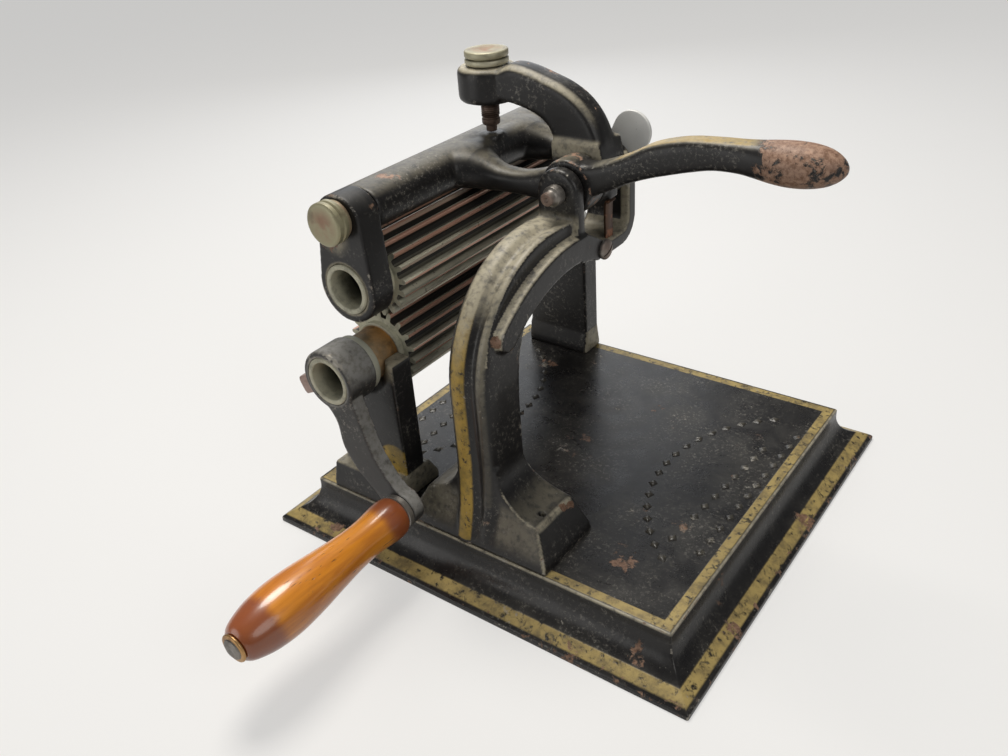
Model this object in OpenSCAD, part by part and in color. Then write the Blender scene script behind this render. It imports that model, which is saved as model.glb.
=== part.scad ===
// Hand-cranked fluting iron: two fluted hollow rollers, the upper one lifted by a lever.
// X runs along the front edge, Y runs away from the crank, Z is up. Millimetres.
// The origin lies on the table, under the middle of the machine's box. Places below are worked
// out from the middle of the base plate, and in_frame() moves each piece into that frame.

/* [Base plate] */
// Width of the base along X
base_w = 228; // [222:1:260]
// Depth of the base along Y
base_d = 218; // [205:1:250]
// Height of the base from the table to its top face
base_h = 23; // [20:1:30]
// Inset of the top face from the foot of the moulding
mould_in = 16; // [12:0.5:18]
// Height of the upright lip at the table
lip_h = 2.2; // [1:0.2:3]
// Inset and height where the painted band starts
band_in = 2.2; // [1:0.2:4]
band_z = 3.8; // [3:0.2:5]
// Inset and height where the hollow moulding starts
cove_in = 7.4; // [6:0.2:9]
cove_z = 6.4; // [5.5:0.2:8]
// Height of the square rim above the hollow moulding
rim_h = 3.4; // [2:0.2:5]
// Thickness of the top, of the lip and of the wall behind the moulding
base_wall = 5; // [4:0.5:6]
mould_wall = 4; // [3:0.5:5]

/* [Rollers] */
// Number of flutes on each roller
flute_n = 18; // [16:1:20]
// Radius at which the two rollers mesh
pitch_r = 18.1; // [17:0.1:20]
// Height of a flute above the meshing radius
flute_add = 1.4; // [1:0.1:1.6]
// Depth of a groove below the meshing radius
flute_ded = 2.7; // [2.4:0.1:3.2]
// Free play of a flute in its groove
flute_play = 1.4; // [1.2:0.1:1.8]
// Slope of the flute sides
flank_deg = 20; // [16:1:22]
// Offset of the upper flutes in their grooves, so that they clear as the lever lifts
flute_offset = 0.4; // [0.2:0.1:0.5]
// Radius of the journals
journal_r = 11.5; // [10.5:0.1:12.5]
// Radius of the bore that takes a heating iron
bore_r = 9.25; // [8:0.25:9.5]
// Height and length of the shoulder between flutes and journal
shoulder_step = 1.5; // [1:0.1:2]
shoulder_t = 3; // [2:0.5:5]
// Height of the lower roller's axis
lower_z = 94; // [88:1:104]
// Clearance of a shaft in its bearing
run_clear = 0.05; // [0.03:0.01:0.1]
// Side clearance between turning and standing faces
end_gap = 0.4; // [0.3:0.1:0.6]

/* [Roller posts] */
// Width of a post along X
post_w = 39; // [36:1:44]
// Thickness of a post along Y
post_t = 12.6; // [10:0.2:14]
// Width of a post's foot
post_foot_w = 40; // [38:1:46]
// Height of a post's foot
post_foot_h = 13; // [10:1:16]
// How far the front post's foot reaches behind the post, and how far its end slopes
post_aft = 9.2; // [6:0.2:14]
post_fall = 5.5; // [2:0.5:7]
// Height of the standard's foot
foot_h = 16; // [12:1:20]
// Slope of the foot blocks
foot_lean = 4; // [2:0.5:6]
// How far the front feet reach before the front post, and the standard's behind it
foot_fore = 10.8; // [8:0.2:12]
foot_aft = 15; // [10:0.5:20]
// Distance of the feet from the edges of the base's top
foot_edge = 0.6; // [0.4:0.1:2]
post_edge = 11.5; // [8:0.5:14]
// How far the rear foot reaches past the rear post
rear_foot = 1.6; // [1:0.1:3]
// Height of the bearing horns above the axis
horn_h = 2; // [0:0.5:6]
// Depth of the bevel in front of the bearing
horn_bevel = 4; // [2:0.5:6]

/* [Standard] */
// Width of the standard along X
std_w = 22; // [18:1:26]
// Set-back of the standard's right side
side_in = 1.5; // [1:0.25:2]
// How far the flange stands out on the right
rim_out = 2.5; // [2:0.25:3.5]
// Width of the standard's foot
std_foot_w = 76; // [64:1:80]
// Gap between the two front feet
foot_gap = 8.5; // [6:0.5:12]
// Depth of the leg along Y
leg_d = 23; // [18:1:26]
// Inset of the leg from the front of its foot
leg_in = 6; // [4:0.5:8]
// Lean of the foot's front face
foot_slope = 7; // [5:0.5:9]
// Outer radius of the arch
arch_r = 54.5; // [50:0.5:58]
// Inner radius of the arch
arch_in_r = 42; // [36:1:46]
// Thickness of the arch at its crown
crown_t = 16.5; // [13:0.5:18]
// Rise of the arch's crown above the saddle
crown_rise = 4.5; // [3:0.5:6]
// Height at which the foot's flare leaves the leg
flare_z = 63; // [60:1:72]
// Radius of the flange's outer edge
rim_r = 83.6; // [80:0.2:88]
// Angle of the flange's rounded lower end
rim_deg = 129.5; // [125:0.5:131]
// Width of the flange
rim_w = 11.6; // [9:0.2:12]
// Drop of the flange's crown below the saddle
rim_drop = 2.5; // [2:0.25:4]
// Depth of the yoke below the hubs
yoke_drop = 15.5; // [13:0.5:18]
// Thickness of the yoke's bar at its lowest place
yoke_t = 6.4; // [5:0.2:8]
// Radius of the yoke's rear bend
yoke_bend = 6; // [4:0.5:7]

/* [Pivot] */
// Distance of the mechanism's middle plane behind the base's middle
mech_y = 14.4; // [10:0.2:18]
// Radius of the pivot pin
pin_r = 4.5; // [3.5:0.1:5.5]
// Radius of the pin's turned tip
pin_tip_r = 3; // [2:0.1:3.4]
// Length of the pin in front of the front ear
pin_front = 8; // [5:0.5:10]
// Length of the turned tip
pin_tip = 3.5; // [2:0.5:5]
// Radius of the ears
ear_r = 10.5; // [9:0.5:12]
// Thickness of the ears
ear_t = 6.6; // [5:0.2:8]
// Radius of the hubs on the pin
hub_r = 12.5; // [11:0.5:13.5]
// Radius of the lever's rear hub
rear_hub_r = 7.5; // [7:0.25:9]
// Clearance under the front hub
hub_drop = 2.5; // [2:0.5:4]
// Length of each lever hub
hub_l = 13; // [11:0.5:15]
// Length of the pressure arm's hub
arm_hub_l = 20.2; // [18:0.2:23]
// Side clearance between hubs
hub_gap = 0.3; // [0.3:0.05:0.5]
// Finger plate on the pin: its eye, its round tongue, and the tongue's rise and lean
plate_eye_r = 7.5; // [6.5:0.25:8]
plate_r = 9.4; // [8:0.2:10.4]
plate_rise = 14.5; // [12:0.5:17]
plate_lean = 9.2; // [7:0.2:11]
plate_t = 2; // [1.5:0.5:3]

/* [Lever] */
// Half width and half height of the roller bar
bar_hw = 12; // [10.5:0.5:13]
bar_hh = 9.5; // [9:0.5:11]
// Gap between the roller bar and the upper roller's flutes
bar_gap = 3.8; // [2:0.2:6]
// Height of the roller bar's axis above the pivot
bar_up = 1; // [0:0.5:2]
// How far the roller bar stands in from the rollers' plane
bar_in = 1.5; // [0:0.5:3]
// Radius of the bar's rounded edges
bar_round = 6; // [3:0.5:8]
// Height of a fork arm at its waist
fork_waist = 13; // [10:0.5:16]
// How far the fork arms spread towards the bar
fork_splay = 5.5; // [3:0.5:7]
// Reach of the handle from the pivot to its tip
handle_reach = 117; // [105:1:130]
// Rise of the handle's end above the pivot
handle_rise = 23; // [18:0.5:27]
// Length of the handle's egg-shaped end
egg_l = 34; // [28:1:40]
// Radius of the egg-shaped end
egg_r = 9.3; // [8:0.1:11]
// Thickness of the handle's neck
neck_t = 11; // [9:0.5:14]
// Width of the handle at its root
handle_w = 13; // [10:0.5:13]

/* [Hangers] */
// Radius of the upper eye
hanger_top_r = 12; // [10:0.5:13]
// Wall around the roller's journal
hanger_wall = 4.3; // [3:0.1:5]
// Thickness of a hanger
hanger_t = 13; // [10:0.5:14]
// Radius of the studs in the bar's ends
stud_r = 5; // [4:0.25:6]
// Depth of a stud in the bar
stud_in = 14; // [10:1:20]
// Knob nuts
knob_nut_r = 9.5; // [8.5:0.25:11]
knob_nut_t = 6.5; // [5:0.5:9]
// Washers under the knob nuts
washer_r = 8.5; // [7.5:0.25:10]
washer_t = 2; // [1:0.25:3]

/* [Pressure arm] */
// Distance of the pressure screw from the pivot
screw_reach = 55.7; // [50:0.5:58]
// Width of the arm along Y
arm_w = 18; // [14:0.5:18]
// Height of the arm's crown above the pivot
arm_rise = 46; // [42:0.5:50]
// Thickness of the arm
arm_t = 15; // [11:0.5:17]
// Inset of the arm's back from the hub's radius
arm_back = 3; // [2:0.5:5]
// Boss around the screw, and its drop below the crown
boss_r = 14; // [12:0.5:15]
boss_h = 15.5; // [12:0.5:18]
boss_drop = 3.5; // [2:0.5:5]
// Radius of the pressure screw
screw_r = 4.6; // [4:0.1:5.2]
// Radius and length of the screw's tip
tip_r = 2.6; // [2:0.1:3]
tip_l = 3; // [2:0.5:4]
// Gap between the screw's tip and its pad
tip_gap = 0.3; // [0.3:0.05:0.5]
// Radius and height of the pad above the bar
pad_r = 6; // [4.5:0.5:6.5]
pad_h = 1.2; // [0.8:0.1:2]
// Turned knob
knob_r = 10.1; // [9.5:0.1:11.5]
knob_h = 6.4; // [5:0.2:9]
knob_groove = 1.2; // [0.8:0.2:2]
knob_gap = 0.5; // [0.3:0.1:1]

/* [Heel spring] */
// Thickness of the spring leaf
leaf_t = 1.3; // [0.9:0.1:1.6]
// Width of the spring's upright
leaf_w = 6; // [4:0.5:7]
// Width of the spring's foot
leaf_foot = 16; // [14:0.5:18]
// Wall between the spring's slot and the yoke's right side
leaf_wall = 2.2; // [1.8:0.1:3]
// Place of the screw behind the middle of the base
spring_screw_y = 3; // [1:0.5:5]
// Screw in the yoke, through the spring
spring_screw_r = 2.5; // [2:0.1:3]
spring_screw_l = 10; // [8:0.5:12]
spring_head_r = 4.75; // [4:0.25:5]
spring_head_t = 2.8; // [2:0.2:3.5]

/* [Crank] */
// Wall and length of the crank's hub
crank_wall = 3; // [2:0.25:4]
crank_hub_l = 17; // [14:0.5:20]
// Thickness of the crank arm
crank_t = 7.4; // [6:0.2:8]
// Sideways and downward throw of the crank
throw_x = 33.5; // [28:0.5:38]
throw_z = 57.5; // [50:0.5:58]
// Radius of the crank's lower eye
crank_eye_r = 9; // [8:0.25:10]
// Wall and length of the collars on the lower roller
collar_wall = 1.9; // [1.5:0.1:3]
rear_collar_wall = 3.9; // [3:0.1:4.5]
collar_t = 3.4; // [2.5:0.1:5]
// Square-headed set screw
set_r = 3; // [2.5:0.25:3.5]
set_head = 8; // [6:0.5:9]
set_head_l = 8; // [5:0.5:10]
set_deg = 206; // [190:1:230]
// Radius of the grub screw in the rear collar
grub_r = 1; // [0.8:0.1:1.3]

/* [Grip] */
// Length of the wooden grip
grip_l = 92; // [80:1:110]
// Radii of the grip at collar, neck, swell and end
grip_collar_r = 9.6; // [9:0.1:11]
grip_neck_r = 8.6; // [8:0.1:9.4]
grip_swell_r = 12.4; // [11:0.1:14]
grip_end_r = 9; // [8:0.1:10]
// Radius of the spindle
spindle_r = 3.5; // [3:0.1:4.5]
// Shoulder of the spindle against the crank
spindle_flange_r = 8.5; // [7:0.1:9]
spindle_flange_t = 3; // [2:0.5:4]
// End washer and the rivet head on it
rivet_t = 1.2; // [0.8:0.1:2]
grip_washer_r = 6.4; // [5.5:0.1:7.5]
grip_washer_t = 1.5; // [1:0.1:2]

/* [Fasteners] */
// Bolts under the standard
std_bolt_r = 4; // [3:0.5:5]
// Bolts under the posts
post_bolt_r = 2.5; // [2:0.25:3]
// Distance of the rear bolts behind the rear post's face
rear_bolt_in = 4.7; // [4:0.1:5.5]
// Thickness of the bolt heads
bolt_head_t = 5; // [4:0.5:6]
// Reach of the bolts into the feet
bolt_in = 14; // [10:1:15]

/* [Hidden] */
$fn = 64;
eps = 0.01;

// Places that follow from the driving sizes
top_x = base_w / 2 - mould_in;
top_y = base_d / 2 - mould_in;
foot_y0 = -top_y + foot_edge;
roller_x = -top_x + post_edge + post_foot_w / 2;
std_x = roller_x + post_foot_w / 2 + foot_gap + std_foot_w / 2;
upper_z = lower_z + 2 * pitch_r;
tip_r_flute = pitch_r + flute_add;
pivot_z = upper_z + tip_r_flute + bar_gap + bar_hh - bar_up;
shoulder_r = journal_r + shoulder_step;
crank_hub_r = journal_r + crank_wall;
collar_r = journal_r + collar_wall;
rear_collar_r = journal_r + rear_collar_wall;
front_post_y0 = foot_y0 + foot_fore;
front_post_y1 = front_post_y0 + post_t;
rear_post_y1 = top_y - rear_foot;
rear_post_y0 = rear_post_y1 - post_t;
flute_y0 = front_post_y1 + end_gap + shoulder_t;
flute_y1 = rear_post_y0 - end_gap - shoulder_t;
collar_y1 = front_post_y0 - end_gap;
collar_y0 = collar_y1 - collar_t;
crank_y0 = collar_y0 - crank_hub_l;
rear_collar_y0 = rear_post_y1 + end_gap;
rear_collar_y1 = rear_collar_y0 + collar_t;

// Rows of hubs along the pivot pin
arm_y0 = mech_y - arm_hub_l / 2;
arm_y1 = mech_y + arm_hub_l / 2;
hub_f1 = arm_y0 - hub_gap;
hub_f0 = hub_f1 - hub_l;
ear_r0 = arm_y1 + hub_gap;
ear_r1 = ear_r0 + ear_t;
plate_y0 = ear_r1 + end_gap;
plate_y1 = plate_y0 + plate_t;
hub_r0 = plate_y1 + end_gap;
hub_r1 = hub_r0 + hub_l;
pin_y1 = hub_r1 + end_gap;
ear_f1 = hub_f0 - end_gap;
ear_f0 = ear_f1 - ear_t;
saddle_z = pivot_z - hub_r - hub_drop;
arch_top = saddle_z + crown_rise;
std_x0 = std_x - std_w / 2;
std_x1 = std_x + std_w / 2 - side_in;
flange_x = std_x1 + rim_out;
leg_y0 = foot_y0 + leg_in;
leg_y1 = leg_y0 + leg_d;
under_z = arch_top - crown_t;
yoke_z1 = pivot_z - hub_r - yoke_drop;
yoke_z0 = yoke_z1 - yoke_t;

// Roller bar and hangers
bar_x = roller_x + bar_in;
bar_z = pivot_z + bar_up;
bar_top = bar_z + bar_hh;
hanger_f1 = flute_y0 - shoulder_t - end_gap;
hanger_f0 = hanger_f1 - hanger_t;
hanger_r0 = flute_y1 + shoulder_t + end_gap;
hanger_r1 = hanger_r0 + hanger_t;
hanger_low_r = journal_r + hanger_wall;
knob_f1 = hanger_f0 - washer_t;
knob_f0 = knob_f1 - knob_nut_t;
knob_r0 = hanger_r1 + washer_t;
knob_r1 = knob_r0 + knob_nut_t;
stud_end = 1.5;

// Pressure screw
screw_x = std_x - screw_reach;
pad_z = bar_top + pad_h;
tip_z = pad_z + tip_gap;
boss_z1 = pivot_z + arm_rise - boss_drop;
knob_z0 = boss_z1 + knob_gap;

// Heel spring in its slot
leaf_x1 = flange_x - leaf_wall;
leaf_x0 = leaf_x1 - leaf_t;
leaf_y0 = spring_screw_y - spring_head_r;
leaf_y1 = leaf_y0 + leaf_foot;
leaf_sink = yoke_t - 1;
leaf_z0 = yoke_z1 - leaf_sink;
spring_screw_z = yoke_z1 - leaf_sink / 2 + 0.4;
curl_r = 1.6;
heel_gap = 0.3;
heel_side = 0.5;
heel_y0 = leaf_y1 - leaf_w - heel_side;
heel_y1 = leaf_y1 + heel_side;
heel_x1 = leaf_x0 + 2 * curl_r + heel_side;
heel_z = pivot_z - sqrt(pow(hub_r, 2) - pow(0.7 * hub_r, 2));

// Crank and grip
eye_x = roller_x + throw_x;
eye_z = lower_z - throw_z;
flange_y0 = crank_y0 - spindle_flange_t;
grip_y1 = flange_y0 - 0.3;
grip_y0 = grip_y1 - grip_l;
grip_washer_y0 = grip_y0 - 0.3 - grip_washer_t;

// Bolts
front_bolt_y = front_post_y0 + post_t / 2;
rear_bolt_y = rear_post_y0 + rear_bolt_in;
std_bolt_x = std_foot_w / 2 - 18;
post_bolt_x = post_w / 2 - 8;
std_bolt_y = (leg_y0 + leg_y1) / 2;

// Middle of the whole machine's box: the origin lies under it, on the table
box_x = (std_x + handle_reach - base_w / 2) / 2;
box_y = (max(base_d / 2, knob_r1) + grip_washer_y0 - rivet_t) / 2;

black = "#1b1a18";
steel = "#8d8a82";

// Points of an arc about (x, y)
function arc(x, y, r, a0, a1, n = 16) =
    [for (i = [0:n]) [x + r * cos(a0 + (a1 - a0) * i / n), y + r * sin(a0 + (a1 - a0) * i / n)]];

// Moves a piece from the base plate's middle to the machine's frame
module in_frame() {
    translate([-box_x, -box_y, 0]) children();
}

// A drawing in X and Z, drawn out along Y
module along_y(y0, y1) {
    translate([0, y1, 0]) rotate([90, 0, 0]) linear_extrude(y1 - y0) children();
}

// A drawing in Y and Z, drawn out along X
module along_x(x0, x1) {
    translate([x0, 0, 0]) rotate([90, 0, 90]) linear_extrude(x1 - x0) children();
}

// A round rod along Y
module rod_y(x, z, y0, y1, r) {
    translate([x, y1, z]) rotate([90, 0, 0]) cylinder(r = r, h = y1 - y0);
}

// A turned piece along Y: profile points are [distance along -Y, radius]
module turned_y(x, y, z, profile) {
    translate([x, y, z]) rotate([90, 0, 0])
        rotate_extrude() polygon([for (p = profile) [p[1], p[0]]]);
}

// Half outline of the base: inset and height, from the table to the top
cove_dx = mould_in - cove_in;
cove_dz = base_h - rim_h - cove_z;
cove_r = (cove_dx * cove_dx + cove_dz * cove_dz) / (2 * cove_dx);
cove_a = asin(cove_dz / cove_r);
function mould_side(half) = concat(
    [[half, 0], [half, lip_h], [half - band_in, band_z]],
    [for (p = arc(mould_in - cove_r, base_h - rim_h, cove_r, -cove_a, 0, 10)) [half - p[0], p[1]]],
    [[half - mould_in, base_h]]);
function mirrored(pts) = [for (i = [len(pts) - 1:-1:0]) [-pts[i][0], pts[i][1]]];
function mould_outline(half) = concat(mould_side(half), mirrored(mould_side(half)));

// Half outline of the hollow under the base
function hollow_side(half) = [
    [half - base_wall, -1], [half - base_wall, 1],
    [half - cove_in - 4, cove_z - 2.5],
    [half - mould_in - mould_wall, base_h - base_wall]];
function hollow_outline(half) = concat(hollow_side(half), mirrored(hollow_side(half)));

module base_plate() {
    color(black) in_frame() difference() {
        intersection() {
            along_y(-base_d, base_d) polygon(mould_outline(base_w / 2));
            along_x(-base_w, base_w) polygon(mould_outline(base_d / 2));
        }
        intersection() {
            along_y(-base_d, base_d) polygon(hollow_outline(base_w / 2));
            along_x(-base_w, base_w) polygon(hollow_outline(base_d / 2));
        }
        for (s = [-1, 1])
            translate([std_x + s * std_bolt_x, std_bolt_y, 0])
                cylinder(r = std_bolt_r + run_clear, h = 2 * base_h);
        for (s = [-1, 1], y = [front_bolt_y, rear_bolt_y])
            translate([roller_x + s * post_bolt_x, y, 0])
                cylinder(r = post_bolt_r + run_clear, h = 2 * base_h);
    }
}

// Bolts from below, heads against the underside of the top
module bolt_up(x, y, r) {
    translate([x, y, base_h - base_wall - bolt_head_t]) {
        cylinder(r = 1.7 * r, h = bolt_head_t, $fn = 6);
        cylinder(r = r, h = bolt_head_t + base_wall + bolt_in);
    }
}

module standard_bolts() {
    color(steel) in_frame() for (s = [-1, 1]) bolt_up(std_x + s * std_bolt_x, std_bolt_y, std_bolt_r);
}

module post_bolts() {
    color(steel) in_frame() for (s = [-1, 1], y = [front_bolt_y, rear_bolt_y])
        bolt_up(roller_x + s * post_bolt_x, y, post_bolt_r);
}

// Half outline of the standard's foot in X and Z, with a hollow flare up to the leg's half width
ridge_z = base_h + foot_h + 2;
function flare_side(half) = let(
    dx = std_foot_w / 2 - half - foot_lean - 4,
    dz = flare_z - ridge_z,
    r = (dx * dx + dz * dz) / (2 * dx)) concat(
    [[std_foot_w / 2, base_h], [std_foot_w / 2 - 0.5, base_h + 3]],
    [for (p = arc(-r, flare_z, r, -2 * atan2(dx, dz), 0, 12)) [half - p[0], p[1]]],
    [[half, flare_z + 6]]);

// Outlines in Y and Z of the foot, and of leg and arch, with the same back
foot_y1 = front_post_y1 + foot_aft;
arch_y = leg_y0 + arch_r;
inner_y = leg_y1 + arch_in_r;
function leg_back() = [
    [leg_y1, flare_z - 6], [leg_y1 + 1.6, flare_z - 12], [foot_y1 - foot_lean, ridge_z],
    [foot_y1 - 0.4, base_h + 3], [foot_y1, base_h]];
function foot_depth() = concat(
    [[foot_y0, base_h], [foot_y0 + 0.4, base_h + 3], [foot_y0 + foot_slope, ridge_z],
     [foot_y0 + foot_slope + 1, flare_z + 6], [leg_y1, flare_z + 6]],
    leg_back());
function arch_outline() = concat(
    [[foot_y0, base_h], [foot_y0 + 0.4, base_h + 3], [foot_y0 + foot_lean, ridge_z],
     [leg_y0, flare_z]],
    arc(arch_y, arch_top - arch_r, arch_r, 180, 90, 24),
    [[ear_f0, arch_top], [ear_f1, saddle_z], [ear_f1, rim_low]],
    arc(inner_y, under_z - arch_in_r, arch_in_r, 75, 180, 20),
    leg_back());

// Band of the flange in Y and Z, from its rounded end to the front ear
rim_cz = saddle_z - rim_drop - rim_r;
rim_end = acos((ear_f1 - inner_y) / rim_r);
rim_mid = rim_r - rim_w / 2;
function rim_outline() = concat(
    arc(inner_y, rim_cz, rim_r, rim_end, rim_deg, 16),
    arc(inner_y + rim_mid * cos(rim_deg), rim_cz + rim_mid * sin(rim_deg), rim_w / 2,
        rim_deg, rim_deg + 180, 8),
    arc(inner_y, rim_cz, rim_r - rim_w, rim_deg, rim_end, 16));

// Side of the yoke: dips behind the front ear and bends up to the rear ear
rim_top = rim_cz + rim_r * sin(rim_end);
rim_low = rim_cz + (rim_r - rim_w) * sin(rim_end);
function yoke_outline() = concat(
    [[ear_f0, rim_low], [ear_f0, rim_top], [ear_f1, rim_top], [ear_f1 + 12, yoke_z1 + 2]],
    arc(ear_r0 - yoke_bend, yoke_z1 + yoke_bend, yoke_bend, -90, 0, 8),
    [[ear_r0, pivot_z], [ear_r1, pivot_z]],
    arc(ear_r0 - yoke_bend, yoke_z0 + yoke_bend + yoke_t, yoke_bend + yoke_t, 0, -90, 10),
    [[ear_f1 + 8, yoke_z0]]);

// An ear that carries the pin: round top on a block
module ear(y0, y1, foot_x0, foot_x1, foot_z) {
    along_y(y0, y1) polygon(concat(
        [[foot_x0, foot_z], [foot_x1, foot_z], [std_x + ear_r, pivot_z - 2]],
        arc(std_x, pivot_z, ear_r, 0, 180, 24)));
}

module standard() {
    color(black) in_frame() difference() {
        union() {
            intersection() {
                translate([std_x, 0, 0]) along_y(foot_y0, foot_y1)
                    polygon(concat(flare_side(std_w / 2 - side_in), mirrored(flare_side(std_w / 2))));
                along_x(std_x - std_foot_w, std_x + std_foot_w) polygon(foot_depth());
            }
            along_x(std_x0, std_x1) polygon(arch_outline());
            along_x(std_x1 - eps, flange_x) polygon(rim_outline());
            along_x(std_x0, flange_x) polygon(yoke_outline());
            ear(ear_f0, ear_f1, std_x - ear_r, std_x + ear_r, saddle_z - 6);
            ear(ear_r0, ear_r1, std_x0, flange_x, yoke_z1 + yoke_bend);
        }
        rod_y(std_x, pivot_z, ear_f0 - 1, ear_r1 + 1, pin_r + run_clear);
        translate([leaf_x0 - run_clear, leaf_y0 - run_clear, leaf_z0 - run_clear])
            cube([leaf_t + 2 * run_clear, leaf_foot + 2 * run_clear, saddle_z - leaf_z0]);
        translate([flange_x - spring_screw_l - 0.5, spring_screw_y, spring_screw_z])
            rotate([0, 90, 0]) cylinder(r = spring_screw_r + run_clear, h = spring_screw_l + 2);
        for (s = [-1, 1])
            translate([std_x + s * std_bolt_x, std_bolt_y, base_h - 1])
                cylinder(r = std_bolt_r + run_clear, h = bolt_in + 2);
    }
}

// A roller post: foot block, upright and open-topped bearing
module post(y0, foot_y0, foot_y1, bolt_y) {
    half = post_w / 2;
    foot = post_foot_w / 2;
    y1 = y0 + post_t;
    top = min(half + 0.4, foot);
    lift = base_h + post_foot_h;
    difference() {
        union() {
            intersection() {
                translate([roller_x, 0, 0]) along_y(foot_y0, foot_y1) polygon([
                    [-foot, base_h], [foot, base_h], [top, lift], [-top, lift]]);
                along_x(roller_x - foot, roller_x + foot) polygon([
                    [foot_y0, base_h], [foot_y1, base_h], [foot_y1, base_h + 4],
                    [max(y1, foot_y1 - post_fall), lift], [min(y0, foot_y0 + 2.5), lift],
                    [foot_y0, base_h + 4]]);
            }
            translate([roller_x - half, y0, base_h + 1])
                cube([post_w, post_t, lower_z + horn_h - base_h - 1]);
        }
        rod_y(roller_x, lower_z, y0 - 1, y1 + 1, journal_r + run_clear);
        translate([roller_x - journal_r - run_clear, y0 - 1, lower_z])
            cube([2 * (journal_r + run_clear), post_t + 2, 2 * horn_h + 10]);
        for (s = [-1, 1])
            translate([roller_x + s * post_bolt_x, bolt_y, base_h - 1])
                cylinder(r = post_bolt_r + run_clear, h = bolt_in + 2);
        children();
    }
}

module front_post() {
    color(black) in_frame() post(front_post_y0, foot_y0, front_post_y1 + post_aft, front_bolt_y) {
        turned_y(roller_x, front_post_y0 + horn_bevel, lower_z, [
            [0, 0], [0, journal_r], [horn_bevel + 1, journal_r + 1.6 * horn_bevel],
            [horn_bevel + 1, 0]]);
    }
}

module rear_post() {
    color(black) in_frame()
        post(rear_post_y0, rear_post_y0 - rear_foot, rear_post_y1 + rear_foot, rear_bolt_y);
}

module pivot_pin() {
    color(steel) in_frame() union() {
        rod_y(std_x, pivot_z, ear_f0 - pin_front + pin_tip, pin_y1, pin_r);
        rod_y(std_x, pivot_z, ear_f0 - pin_front, pin_y1, pin_tip_r);
        rod_y(std_x, pivot_z, pin_y1, pin_y1 + 1.5, pin_r + 1.5);
    }
}

// Bare plate on the pin behind the rear ear, with a round tongue that leans to the handle
module pin_finger_plate() {
    eye = [std_x, pivot_z];
    tongue = eye + [plate_lean, plate_rise];
    side = [plate_rise, -plate_lean] / norm([plate_lean, plate_rise]);
    color("#b9b9b4") in_frame() difference() {
        union() {
            rod_y(eye[0], eye[1], plate_y0, plate_y1, plate_eye_r);
            rod_y(tongue[0], tongue[1], plate_y0, plate_y1, plate_r);
            along_y(plate_y0, plate_y1) polygon([
                eye + plate_eye_r * side, tongue + plate_r * side, tongue - plate_r * side,
                eye - plate_eye_r * side]);
        }
        rod_y(eye[0], eye[1], plate_y0 - 1, plate_y1 + 1, pin_r + run_clear);
    }
}

// Leaf that stands in the yoke's slot and presses up under the arm's heel
module heel_spring() {
    top = heel_z - heel_gap;
    color("#5b3a26") in_frame() difference() {
        union() {
            translate([leaf_x0, leaf_y0, leaf_z0]) cube([leaf_t, leaf_foot, yoke_z1 - leaf_z0]);
            translate([leaf_x0, leaf_y1 - leaf_w, leaf_z0])
                cube([leaf_t, leaf_w, top - curl_r - leaf_z0]);
            rod_y(leaf_x0 + curl_r, top - curl_r, leaf_y1 - leaf_w, leaf_y1, curl_r);
        }
        translate([leaf_x0 - 1, spring_screw_y, spring_screw_z]) rotate([0, 90, 0])
            cylinder(r = spring_screw_r + run_clear, h = leaf_t + 2);
    }
}

module spring_screw() {
    color(steel) in_frame() translate([flange_x, spring_screw_y, spring_screw_z])
        rotate([0, 90, 0]) difference() {
            union() {
                translate([0, 0, -spring_screw_l]) cylinder(r = spring_screw_r, h = spring_screw_l + eps);
                rotate_extrude() polygon(concat(
                    [[0, 0], [spring_head_r, 0]],
                    [for (i = [0:6]) [spring_head_r * cos(90 * i / 6),
                                      0.6 + (spring_head_t - 0.6) * sin(90 * i / 6)]]));
            }
            translate([-0.5, -spring_head_r - 1, spring_head_t - 1.1])
                cube([1, 2 * spring_head_r + 2, 2]);
        }
}

// Flutes: parallel below the meshing radius, sloping to a land above it
flute_pitch = 2 * PI * pitch_r / flute_n;
flute_w = (flute_pitch - flute_play) / 2;
land_w = flute_w - 2 * flute_add * tan(flank_deg);
function half_angle(w, r) = asin(w / 2 / r);
function flute(a) = let(
    r0 = pitch_r - flute_ded,
    r2 = tip_r_flute,
    a0 = half_angle(flute_w, r0),
    a1 = half_angle(flute_w, pitch_r),
    a2 = half_angle(land_w, r2))
    [for (p = [[r0, -a0], [pitch_r, -a1], [r2, -a2], [r2, a2], [pitch_r, a1], [r0, a0]])
        [p[0] * cos(a + p[1]), p[0] * sin(a + p[1])]];
function flutes(a) = [for (i = [0:flute_n - 1]) each flute(a + 360 * i / flute_n)];

module roller(z, first, y0, y1) {
    difference() {
        union() {
            translate([roller_x, 0, z]) along_y(flute_y0, flute_y1) polygon(flutes(first));
            rod_y(roller_x, z, flute_y0 - shoulder_t, flute_y1 + shoulder_t, shoulder_r);
            rod_y(roller_x, z, y0, y1, journal_r);
        }
        rod_y(roller_x, z, y0 - 1, y1 + 1, bore_r);
    }
}

module lower_roller() {
    color("#8a7d6c") in_frame() roller(lower_z, 90, crank_y0, rear_collar_y1 + 0.5);
}

module upper_roller() {
    color("#8a7d6c") in_frame() roller(
        upper_z, -90 + 180 / flute_n + flute_offset / pitch_r * 180 / PI,
        hanger_f0 - 0.8, hanger_r1 + 0.8);
}

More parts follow.
